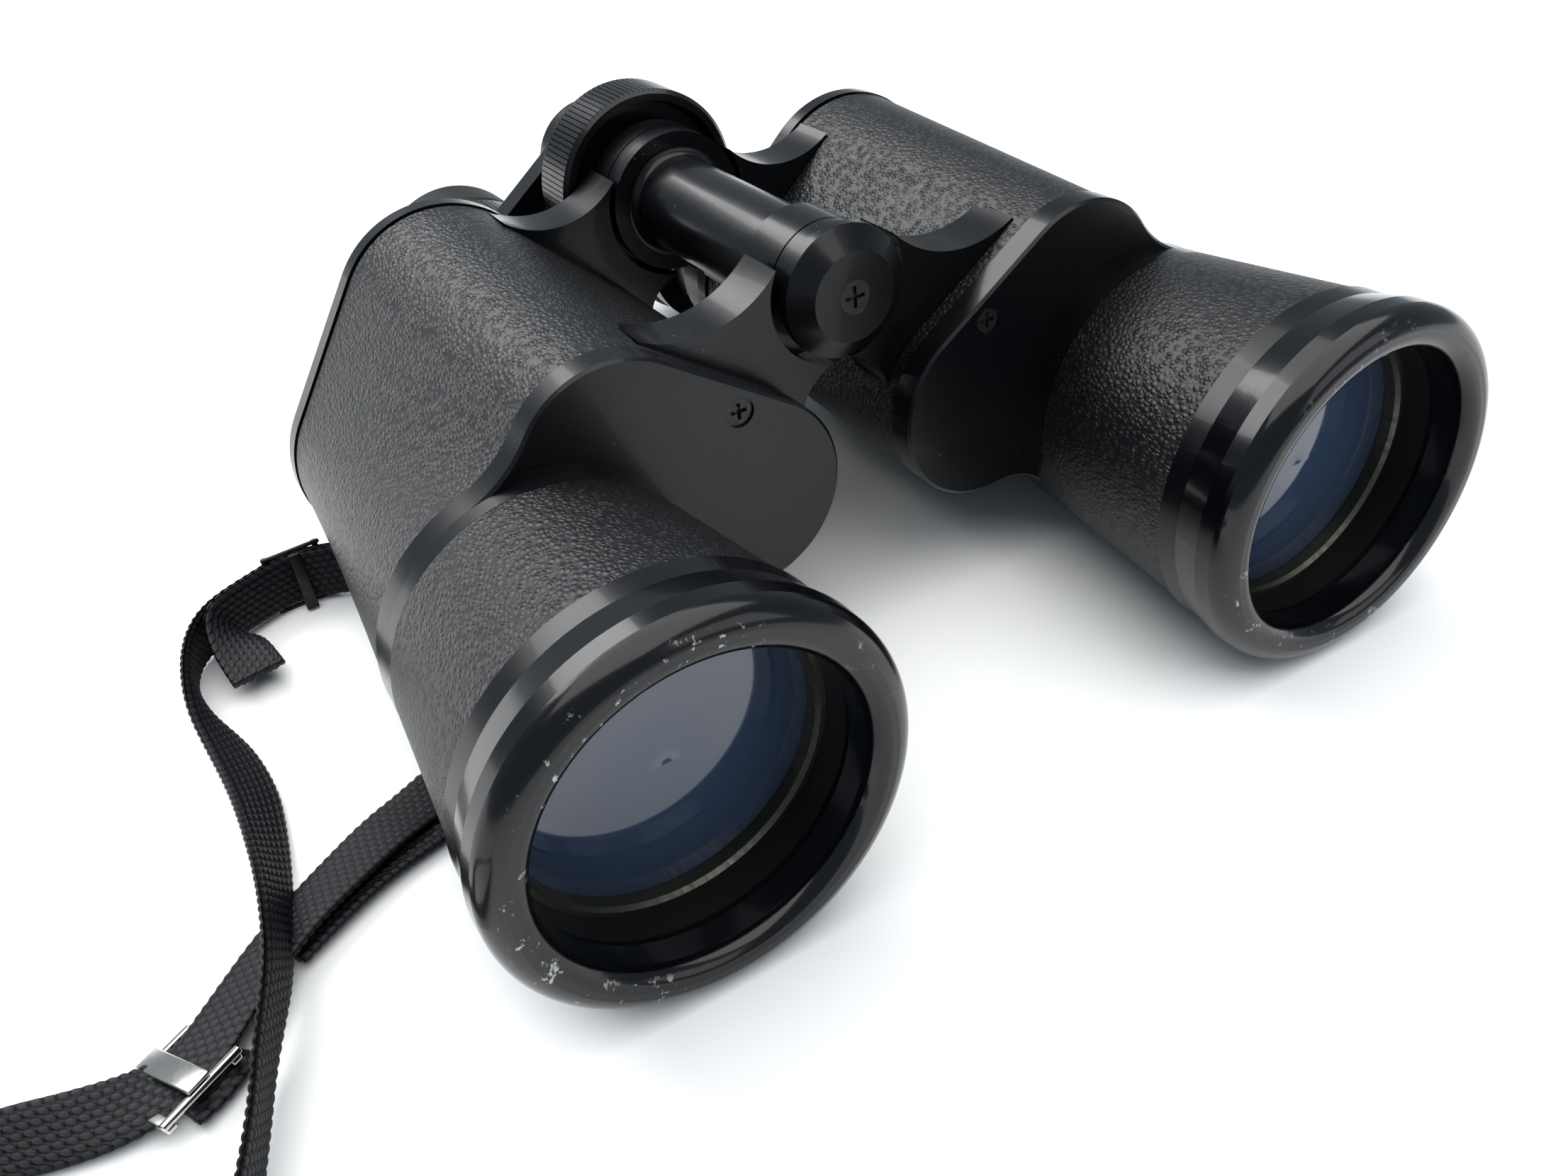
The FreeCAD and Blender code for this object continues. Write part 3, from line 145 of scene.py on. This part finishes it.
# ---------------------------------------------------------------- strap
# Each control point is x, y, z in metres and a roll in degrees: 0 lies flat, 90 stands on edge.
STRAP_WIDTH = 0.010
STRAP_THICKNESS = 0.0010
STITCH_ACROSS = 0.00125
STITCH_ALONG = 0.0017
STITCH_LEAN = 0.45
STITCH_ROUNDING = 4.2
STITCH_RELIEF = 0.00042
LINE_STEPS = 14
RIBBON_COLUMNS = 32
STRAP_ROUTE = [
    (-0.0803, 0.0237, 0.0046, 42),
    (-0.0828, 0.0246, 0.0052, 62),
    (-0.0862, 0.0259, 0.0054, 74),
    (-0.0905, 0.0268, 0.0054, 76),
    (-0.0950, 0.0259, 0.0054, 80),
    (-0.1002, 0.0240, 0.0054, 80),
    (-0.1048, 0.0221, 0.0054, 80),
    (-0.1087, 0.0200, 0.0055, 88),
    (-0.1118, 0.0170, 0.0055, 94),
    (-0.1143, 0.0124, 0.0055, 96),
    (-0.1157, 0.0066, 0.0055, 92),
    (-0.1157, 0.0000, 0.0054, 76),
    (-0.1149, -0.0061, 0.0050, 58),
    (-0.1137, -0.0137, 0.0045, 46),
    (-0.1131, -0.0234, 0.0046, 46),
    (-0.1136, -0.0313, 0.0051, 55),
    (-0.1145, -0.0396, 0.0059, 64),
    (-0.1157, -0.0480, 0.0069, 73),
    (-0.1172, -0.0565, 0.0082, 80),
    (-0.1194, -0.0650, 0.0086, 86),
    (-0.1223, -0.0710, 0.0076, 91),
    (-0.1252, -0.0765, 0.0063, 93),
    (-0.1286, -0.0855, 0.0057, 95),
    (-0.1350, -0.1000, 0.0056, 90),
    (-0.1460, -0.1180, 0.0056, 80),
    (-0.1610, -0.1430, 0.0054, 68),
    (-0.1840, -0.1620, 0.0050, 56),
    (-0.2100, -0.1620, 0.0044, 40),
    (-0.2270, -0.1420, 0.0036, 20),
    (-0.2290, -0.1130, 0.0028, 0),
    (-0.2170, -0.0850, 0.0026, -12),
    (-0.1960, -0.0675, 0.0026, -16),
    (-0.1800, -0.0650, 0.0028, -20),
    (-0.1700, -0.0645, 0.0028, -22),
    (-0.1580, -0.0668, 0.0030, -22),
    (-0.1500, -0.0693, 0.0030, -18),
    (-0.1430, -0.0704, 0.0028, -8),
    (-0.1366, -0.0696, 0.0025, 6),
    (-0.1322, -0.0672, 0.0027, 14),
    (-0.1288, -0.0642, 0.0028, 16),
    (-0.1252, -0.0610, 0.0029, 18),
    (-0.1190, -0.0560, 0.0032, 18),
    (-0.1130, -0.0522, 0.0035, 18),
    (-0.1070, -0.0488, 0.0034, 14),
    (-0.0975, -0.0436, 0.0030, 8),
    (-0.0900, -0.0405, 0.0020, 3),
    (-0.0650, -0.0280, 0.0009, 0),
    (-0.0390, -0.0130, 0.0011, 0),
    (-0.0286, -0.0070, 0.0016, 0),
    (-0.0150, 0.0040, 0.0018, 0),
    (0.0, 0.0175, 0.0018, 0),
    (0.0170, 0.0315, 0.0018, 0),
    (0.0370, 0.0445, 0.0018, 0),
    (0.0570, 0.0565, 0.0018, 0),
    (0.0760, 0.0655, 0.0020, 6),
    (0.0930, 0.0695, 0.0028, 20),
    (0.1060, 0.0665, 0.0044, 45),
    (0.1125, 0.0560, 0.0054, 60),
    (0.1130, 0.0410, 0.0058, 66),
    (0.1080, 0.0300, 0.0062, 60),
    (0.0970, 0.0255, 0.0060, 30),
    (0.0880, 0.0240, 0.0054, 10),
    (0.0826, 0.0238, 0.0049, 0),
]
# The doubled part that lies half under the strap, beside the right objective.
UNDERLAY_ROUTE = [
    (-0.1180, -0.0560, 0.0014, 8),
    (-0.1116, -0.0526, 0.0015, 8),
    (-0.1043, -0.0490, 0.0015, 6),
    (-0.0981, -0.0467, 0.0014, 4),
    (-0.0917, -0.0450, 0.0012, 2),
    (-0.0820, -0.0425, 0.0012, 0),
    (-0.0720, -0.0380, 0.0011, 0),
]
# The turn of webbing that goes round the bright slide and shows below it.
FOLD_ROUTE = [
    (-0.1372, -0.0733, 0.0016, 8),
    (-0.1345, -0.0722, 0.0014, 6),
    (-0.1318, -0.0703, 0.0013, 4),
    (-0.1288, -0.0678, 0.0013, 2),
]
# The loose end that comes out of the dark slide, folds over and hangs down.
TAIL_ROUTE = [
    (-0.0812, 0.0222, 0.0058, 70),
    (-0.0855, 0.0238, 0.0059, 76),
    (-0.0905, 0.0250, 0.0060, 76),
    (-0.0950, 0.0241, 0.0062, 79),
    (-0.1000, 0.0221, 0.0064, 80),
    (-0.1040, 0.0203, 0.0066, 82),
    (-0.1063, 0.0180, 0.0068, 68),
    (-0.1062, 0.0150, 0.0064, 38),
    (-0.1054, 0.0105, 0.0056, 12),
    (-0.1048, 0.0062, 0.0048, 2),
    (-0.1044, 0.0035, 0.0042, 0),
]


def ribbon_rows(route, steps):
    """Middle line and across-direction along a route of x, y, z, roll."""
    middles = [Vector(point[:3]) for point in route]
    across = []
    for i, point in enumerate(route):
        way = middles[min(i + 1, len(middles) - 1)] - middles[max(i - 1, 0)]
        aside = Vector((-way.y, way.x, 0)).normalized()
        rise = way.normalized().cross(aside)
        roll = math.radians(point[3])
        across.append(aside * math.cos(roll) - rise * math.sin(roll))
    line = spline_points(middles, steps)
    edge = spline_points([m + a * STRAP_WIDTH for m, a in zip(middles, across)], steps)
    return line, [(e - m).normalized() for m, e in zip(line, edge)]


def evenly(line, across, spacing):
    """The same rows at an even spacing, each with its distance from the start."""
    runs = [0.0]
    for first, second in zip(line, line[1:]):
        runs.append(runs[-1] + (second - first).length)
    count = int(runs[-1] / spacing)
    rows = []
    i = 0
    for step in range(count + 1):
        run = runs[-1] * step / count
        while i < len(runs) - 2 and runs[i + 1] < run:
            i += 1
        share = (run - runs[i]) / max(runs[i + 1] - runs[i], 1e-9)
        middle = line[i].lerp(line[i + 1], share)
        rows.append((middle, across[i].lerp(across[i + 1], share).normalized(), run))
    return rows


def stitch(side, run):
    """Height of the weave, 0 in a crease to 1 on top of a stitch, side and run in metres."""
    column = side / STITCH_ACROSS
    number = math.floor(column)
    u = column - number - 0.5
    v = run / STITCH_ALONG + 0.5 * (number % 2) + STITCH_LEAN * u
    v = v - math.floor(v) - 0.5
    return math.sqrt(max(0.0, 1 - STITCH_ROUNDING * (u * u + v * v)))


def ribbon(name, route, width=STRAP_WIDTH, thickness=STRAP_THICKNESS):
    """Flat webbing with rounded edges along a route; UV runs across it and, in metres, along it."""
    line, across = ribbon_rows(route, LINE_STEPS)
    rows = evenly(line, across, STITCH_ALONG / 4)
    outline = []
    for face in (1, -1):
        for i in range(RIBBON_COLUMNS + 1):
            u = -1 + 2 * i / RIBBON_COLUMNS
            outline.append((u * face, math.sqrt(max(0.0, 1 - abs(u) ** 6)) * face))
    count = len(outline)
    vertices, uvs = [], []
    for i, (middle, side, run) in enumerate(rows):
        ahead = rows[min(i + 1, len(rows) - 1)][0] - rows[max(i - 1, 0)][0]
        through = ahead.cross(side).normalized()
        for u, bulge in outline:
            across_now = u * width / 2
            relief = stitch(across_now, run) * STITCH_RELIEF
            out = side * (u * abs(u) ** 7) + through * bulge
            vertices.append(
                middle + side * across_now + through * (bulge * thickness / 2) + out * relief
            )
            uvs.append((across_now, run))
    faces = []
    for row in range(len(rows) - 1):
        for i in range(count):
            near, far = row * count, (row + 1) * count
            j = (i + 1) % count
            faces.append((near + i, near + j, far + j, far + i))
    faces.append(tuple(range(count))[::-1])
    faces.append(tuple(range(len(vertices) - count, len(vertices))))
    return add_mesh(name, vertices, faces, uvs=uvs), line


STRAP_NODES = [n for n in frame["nodes"] if n.startswith("strap_")]
strap, strap_line = ribbon("strap", STRAP_ROUTE)
underlay, _ = ribbon("strap_underlay", UNDERLAY_ROUTE)
fold, _ = ribbon("strap_fold", FOLD_ROUTE)
tail, _ = ribbon("strap_tail", TAIL_ROUTE)


SLIDE_ROUNDING = 0.00028


def slide_buckle(name, middle, way, across, frame_size, bar_width, lift, drop):
    """Three-bar slide: thin rails beside the webbing, end bars under it, middle bar over it."""
    way = way.normalized()
    across = (across - way * across.dot(way)).normalized()
    up = way.cross(across)
    length, half_width, rail = frame_size
    bars = [
        (0, half_width, 0, length, rail, rail),
        (0, -half_width, 0, length, rail, rail),
        (length / 2 - rail, 0, -drop, rail * 1.5, half_width * 2, rail),
        (rail - length / 2, 0, -drop, rail * 1.5, half_width * 2, rail),
        (0, 0, lift, bar_width, half_width * 2 + rail, 0.0007),
    ]
    vertices, faces = [], []
    for x, y, z, long, wide, high in bars:
        first = len(vertices)
        for k in (-1, 1):
            for j in (-1, 1):
                for i in (-1, 1):
                    place = way * (x + i * long / 2) + across * (y + j * wide / 2)
                    vertices.append(middle + place + up * (z + k * high / 2))
        for face in ((0, 2, 3, 1), (4, 5, 7, 6), (0, 1, 5, 4), (2, 6, 7, 3), (0, 4, 6, 2), (1, 3, 7, 5)):
            faces.append(tuple(first + corner for corner in face))
    buckle = add_mesh(name, vertices, faces, smooth=False)
    bevel = buckle.modifiers.new("rounded", "BEVEL")
    bevel.width = SLIDE_ROUNDING
    bevel.segments = 3
    for polygon in buckle.data.polygons:
        polygon.use_smooth = True
    return buckle


dark_slide = slide_buckle(
    "strap_dark_slide",
    Vector((-0.0902, 0.0252, 0.0058)),
    Vector((-1, -0.05, 0)),
    Vector((0, -0.20, -0.98)),
    (0.0116, 0.0057, 0.0008),
    0.0024,
    0.0030,
    0.0012,
)
bright_slide = slide_buckle(
    "strap_bright_slide",
    Vector((-0.1362, -0.0694, 0.0031)),
    Vector((0.88, 0.47, 0)),
    Vector((-0.426, 0.798, -0.30)),
    (0.0135, 0.0061, 0.0011),
    0.0038,
    0.0012,
    0.0012,
)


# ---------------------------------------------------------------- materials
class Finish:
    """A node material under construction, with short calls for the nodes it needs."""

    def __init__(self, name):
        self.material = bpy.data.materials.new(name)
        self.material.use_nodes = True
        self.tree = self.material.node_tree
        self.surface = self.tree.nodes["Principled BSDF"]

    def node(self, kind, **settings):
        """A node; settings are properties, or inputs by their name with spaces as underscores."""
        made = self.tree.nodes.new(kind)
        for key, value in settings.items():
            if hasattr(made, key):
                setattr(made, key, value)
            else:
                made.inputs[key.replace("_", " ")].default_value = value
        return made

    def join(self, source, target, name=None, output=0):
        """Link a node's output to an input of another node, or of the surface."""
        socket = target if name is None else target.inputs[name]
        self.tree.links.new(source.outputs[output], socket)

    def values(self, **numbers):
        for key, value in numbers.items():
            self.surface.inputs[key.replace("_", " ")].default_value = value

    def noise(self, scale, detail=4.0, rough=0.55, stretch=None):
        """Noise over the object's own points, in metres."""
        texture = self.node("ShaderNodeTexNoise", Scale=scale, Detail=detail, Roughness=rough)
        self.feed_place(texture, stretch)
        return texture

    def feed_place(self, texture, stretch=None):
        place = self.node("ShaderNodeTexCoord")
        if stretch is None:
            self.tree.links.new(place.outputs["Object"], texture.inputs["Vector"])
            return
        mapping = self.node("ShaderNodeMapping", Scale=stretch)
        self.tree.links.new(place.outputs["Object"], mapping.inputs["Vector"])
        self.tree.links.new(mapping.outputs["Vector"], texture.inputs["Vector"])

    def ramp(self, source, low, high, first, last, output=0):
        """Maps a value from low..high to first..last, held at the ends."""
        mapped = self.node("ShaderNodeMapRange")
        for key, value in (("From Min", low), ("From Max", high), ("To Min", first), ("To Max", last)):
            mapped.inputs[key].default_value = value
        self.tree.links.new(source.outputs[output], mapped.inputs["Value"])
        return mapped

    def maths(self, operation, first, second=None, constant=None):
        made = self.node("ShaderNodeMath", operation=operation)
        self.tree.links.new(first.outputs[0], made.inputs[0])
        if second is not None:
            self.tree.links.new(second.outputs[0], made.inputs[1])
        if constant is not None:
            made.inputs[1].default_value = constant
        return made

    def mix(self, factor, first, second):
        """Colour between first and second, by a factor node."""
        made = self.node("ShaderNodeMix", data_type="RGBA")
        self.tree.links.new(factor.outputs[0], made.inputs[0])
        made.inputs[6].default_value = (*first, 1)
        made.inputs[7].default_value = (*second, 1)
        return made

    def paint(self, factor, first, second):
        mixed = self.mix(factor, first, second)
        self.tree.links.new(mixed.outputs[2], self.surface.inputs["Base Color"])

    def bump(self, height, depth, strength=1.0, after=None):
        made = self.node("ShaderNodeBump", Strength=strength, Distance=depth)
        self.tree.links.new(height.outputs[0], made.inputs["Height"])
        if after is not None:
            self.tree.links.new(after.outputs[0], made.inputs["Normal"])
        self.tree.links.new(made.outputs[0], self.surface.inputs["Normal"])
        return made

    def dust(self, amount=0.5):
        """A value that is 1 on scattered specks of dust and 0 elsewhere."""
        cells = self.node("ShaderNodeTexVoronoi", Scale=420.0, Randomness=1.0)
        self.feed_place(cells)
        specks = self.ramp(cells, 0.03, 0.07, 1.0, 0.0)
        patches = self.ramp(self.noise(60.0, 2.0), 0.62 - 0.12 * amount, 0.72, 0.0, 1.0)
        return self.maths("MULTIPLY", specks, patches)


def enamel(name, base, sheen, rough, dust_amount=0.5):
    """Black enamel on metal: smooth, with faint orange peel, uneven gloss and a little dust."""
    finish = Finish(name)
    finish.values(Metallic=0.0, Specular_IOR_Level=0.25, Coat_Weight=sheen, Coat_Roughness=0.06)
    dust = finish.dust(dust_amount)
    finish.paint(dust, base, (0.30, 0.31, 0.32))
    uneven = finish.ramp(finish.noise(35.0), 0.3, 0.7, rough * 0.85, rough * 1.25)
    finish.join(uneven, finish.surface, "Roughness")
    finish.bump(finish.noise(1400.0, 2.0), 0.00002, 0.35)
    return finish


def worn_enamel(name, base, sheen, rough):
    """Enamel rubbed through to pale metal in small chips on the foremost part of a rim."""
    finish = enamel(name, base, sheen, rough)
    place = finish.node("ShaderNodeTexCoord")
    forward = finish.node("ShaderNodeVectorMath", operation="DOT_PRODUCT")
    finish.tree.links.new(place.outputs["Object"], forward.inputs[0])
    forward.inputs[1].default_value = turned(0, 1, 0)
    front = turned(0, 1, 0).dot(lay(0, LIP_FRONT, 0))
    rim = finish.node("ShaderNodeMapRange")
    for key, value in (("From Min", front), ("From Max", front + 0.0012), ("To Min", 1), ("To Max", 0)):
        rim.inputs[key].default_value = value
    finish.join(forward, rim, "Value", output=1)
    chips = finish.ramp(finish.noise(420.0, 6.0, 0.7), 0.60, 0.64, 0.0, 1.0)
    areas = finish.ramp(finish.noise(38.0, 2.0), 0.50, 0.60, 0.0, 1.0)
    worn = finish.maths("MULTIPLY", finish.maths("MULTIPLY", chips, areas), rim)
    mixed = finish.mix(worn, base, (0.42, 0.42, 0.41))
    finish.tree.links.new(mixed.outputs[2], finish.surface.inputs["Base Color"])
    return finish


def pebbled(name):
    """Black leatherette: fine elongated pebbles with rounded tops, and painted shade in the thin creases
    between them.
    """
    finish = Finish(name)
    finish.values(Specular_IOR_Level=0.4)
    wander = finish.noise(300.0, 2.0)
    place = finish.node("ShaderNodeTexCoord")
    shift = finish.node("ShaderNodeVectorMath", operation="SCALE", Scale=0.0005)
    finish.tree.links.new(wander.outputs["Color"], shift.inputs[0])
    moved = finish.node("ShaderNodeVectorMath", operation="ADD")
    finish.tree.links.new(place.outputs["Object"], moved.inputs[0])
    finish.tree.links.new(shift.outputs[0], moved.inputs[1])
    mapping = finish.node("ShaderNodeMapping", Scale=(1.0, 0.72, 1.0))
    finish.tree.links.new(moved.outputs[0], mapping.inputs["Vector"])
    cells = finish.node("ShaderNodeTexVoronoi", feature="SMOOTH_F1", Scale=1150.0, Smoothness=0.35)
    finish.tree.links.new(mapping.outputs["Vector"], cells.inputs["Vector"])
    edges = finish.node("ShaderNodeTexVoronoi", feature="DISTANCE_TO_EDGE", Scale=1150.0)
    finish.tree.links.new(mapping.outputs["Vector"], edges.inputs["Vector"])
    crease = finish.ramp(edges, 0.0, 0.16, 0.0, 1.0)
    tops = finish.ramp(cells, 0.0, 0.75, 1.0, 0.0)
    height = finish.maths("MULTIPLY", crease, tops)
    finish.bump(height, 0.00018, 0.9)
    # Painted shade: the colour is darkest in the creases between pebbles and lighter on their tops.
    finish.paint(crease, (0.0004, 0.0004, 0.0006), (0.0034, 0.0040, 0.0056))
    finish.values(Roughness=0.42)
    return finish.material


def glass(name, tint, rough=0.02):
    """Lens glass with a coloured reflection and a dark look into the instrument."""
    finish = Finish(name)
    finish.values(Metallic=0.0, Specular_IOR_Level=0.8, IOR=1.55, Coat_Weight=0.0)
    haze = finish.ramp(finish.noise(9.0, 2.0), 0.35, 0.7, 0.0, 1.0)
    finish.paint(haze, tint, tuple(min(1.0, v * 1.5) for v in tint))
    film = finish.ramp(finish.noise(70.0, 3.0), 0.3, 0.75, rough, rough + 0.05)
    finish.join(film, finish.surface, "Roughness")
    return finish.material


def metal(name, base, rough, metallic=1.0, grain=900.0):
    """Plain metal with fine handling marks."""
    finish = Finish(name)
    finish.values(Metallic=metallic)
    marks = finish.noise(grain, 3.0, stretch=(1.0, 0.2, 1.0))
    finish.paint(finish.ramp(marks, 0.3, 0.7, 0.0, 1.0), base, tuple(v * 0.8 for v in base))
    finish.join(finish.ramp(marks, 0.3, 0.7, rough * 0.8, rough * 1.3), finish.surface, "Roughness")
    finish.bump(marks, 0.00002, 0.4)
    return finish.material


def webbing(name):
    """Coarse woven nylon: leaning plump stitches in offset columns along the UV map, with painted shade
    in the creases between them.
    """
    finish = Finish(name)
    finish.values(Specular_IOR_Level=0.2, Sheen_Weight=0.0)
    parts = finish.node("ShaderNodeSeparateXYZ")
    finish.join(finish.node("ShaderNodeUVMap"), parts, "Vector")
    side = finish.maths("DIVIDE", parts, constant=STITCH_ACROSS)
    number = finish.maths("FLOOR", side)
    u = finish.maths("SUBTRACT", finish.maths("FRACT", side), constant=0.5)
    odd = finish.maths("FLOORED_MODULO", number, constant=2.0)
    run = finish.node("ShaderNodeMath", operation="DIVIDE")
    run.inputs[1].default_value = STITCH_ALONG
    finish.join(parts, run.inputs[0], output=1)
    staggered = finish.maths("ADD", run, finish.maths("MULTIPLY", odd, constant=0.5))
    leaning = finish.maths("ADD", staggered, finish.maths("MULTIPLY", u, constant=STITCH_LEAN))
    v = finish.maths("SUBTRACT", finish.maths("FRACT", leaning), constant=0.5)
    square = finish.maths("ADD", finish.maths("MULTIPLY", u, u), finish.maths("MULTIPLY", v, v))
    dome = finish.ramp(square, 0.0, 0.22, 1.0, 0.0)
    plump = finish.maths("SQRT", dome)
    threads = finish.noise(2600.0, 2.0)
    first = finish.bump(plump, 0.00035, 0.8)
    finish.bump(threads, 0.00006, 0.5, after=first)
    # Painted shade: the colour goes almost black in the creases between stitches, where the weave shades
    # itself, and lighter on the stitch tops.
    finish.paint(plump, (0.0001, 0.0001, 0.0002), (0.012, 0.0135, 0.018))
    finish.values(Roughness=0.5)
    return finish.material


FINISHES = {
    "satin_black": enamel("satin_black", (0.0020, 0.0023, 0.0032), 0.12, 0.25).material,
    "gloss_black": worn_enamel("gloss_black", (0.0014, 0.0016, 0.0024), 0.25, 0.18).material,
    "leatherette": pebbled("leatherette"),
    "flat_black": enamel("flat_black", (0.003, 0.003, 0.003), 0.0, 0.5, 0.0).material,
    "coated_glass": glass("coated_glass", (0.020, 0.032, 0.060)),
    "prism_glass": glass("prism_glass", (0.3, 0.32, 0.34)),
    "olive_ring": metal("olive_ring", (0.085, 0.087, 0.074), 0.42),
    "dull_steel": metal("dull_steel", (0.020, 0.021, 0.023), 0.36, 0.5),
    "gunmetal": metal("gunmetal", (0.03, 0.03, 0.033), 0.38),
    "bright_nickel": metal("bright_nickel", (0.62, 0.60, 0.56), 0.16),
    "eyecup_black": enamel("eyecup_black", (0.006, 0.006, 0.006), 0.0, 0.55).material,
    "webbing": webbing("webbing"),
}

SLOT_OF = {part["node"]: part["material_slot"] for part in frame["record"]["subparts"]}
for node_name, thing in frame["nodes"].items():
    thing.data.materials.clear()
    thing.data.materials.append(FINISHES[SLOT_OF[node_name]])


def finish_piece(thing, slot, body, replaced=()):
    """Give an own piece its finish and its body, and say which CAD nodes it stands for."""
    thing.data.materials.append(FINISHES[slot])
    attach(thing, body)
    for node_name in replaced:
        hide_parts(node_name)


finish_piece(strap, "webbing", "right_half", [n for n in STRAP_NODES if "glide" not in n])
for piece in (underlay, fold, tail):
    finish_piece(piece, "webbing", "right_half")
finish_piece(dark_slide, "gunmetal", "right_half", ["strap_right_glide"])
finish_piece(bright_slide, "bright_nickel", "right_half", ["strap_loop_glide"])


# ---------------------------------------------------------------- table and light
def add_table():
    """Pale seamless surface under the instrument."""
    reach = 3.0
    table = add_mesh(
        "table",
        [(-reach, -reach, 0), (reach, -reach, 0), (reach, reach, 0), (-reach, reach, 0)],
        [(0, 1, 2, 3)],
        smooth=False,
    )
    finish = Finish("table")
    patches = finish.ramp(finish.noise(3.0, 2.0), 0.3, 0.7, 0.0, 1.0)
    finish.paint(patches, (0.90, 0.91, 0.92), (0.93, 0.935, 0.94))
    finish.values(Roughness=0.7, Specular_IOR_Level=0.2)
    table.data.materials.append(finish.material)


def add_lamp(name, place, aim, size, power, tint=(1, 1, 1)):
    lamp = bpy.data.lights.new(name, "AREA")
    lamp.shape = "RECTANGLE"
    lamp.size, lamp.size_y = size
    lamp.energy = power
    lamp.color = tint
    thing = add_object(name, lamp)
    thing.location = place
    thing.rotation_euler = (Vector(aim) - Vector(place)).to_track_quat("-Z", "Y").to_euler()


def add_light():
    """Pale surroundings, a wide soft lamp overhead, a window behind and a little light in front."""
    bpy.context.scene.view_settings.view_transform = "Standard"
    world = bpy.data.worlds.new("surroundings")
    world.use_nodes = True
    background = world.node_tree.nodes["Background"]
    background.inputs["Color"].default_value = (0.78, 0.90, 1.0, 1)
    background.inputs["Strength"].default_value = 0.40
    bpy.context.scene.world = world
    add_lamp("window", (-0.35, 0.75, 0.75), (0, 0, 0.02), (0.9, 0.5), 10.0)
    add_lamp("overhead", (0.1, 0.1, 2.4), (0, 0, 0), (3.6, 3.6), 102.0, (1.0, 0.985, 0.96))
    add_lamp("front_fill", (0.5, -0.9, 0.5), (0, 0, 0.03), (0.7, 0.5), 1.5)


add_table()
add_light()
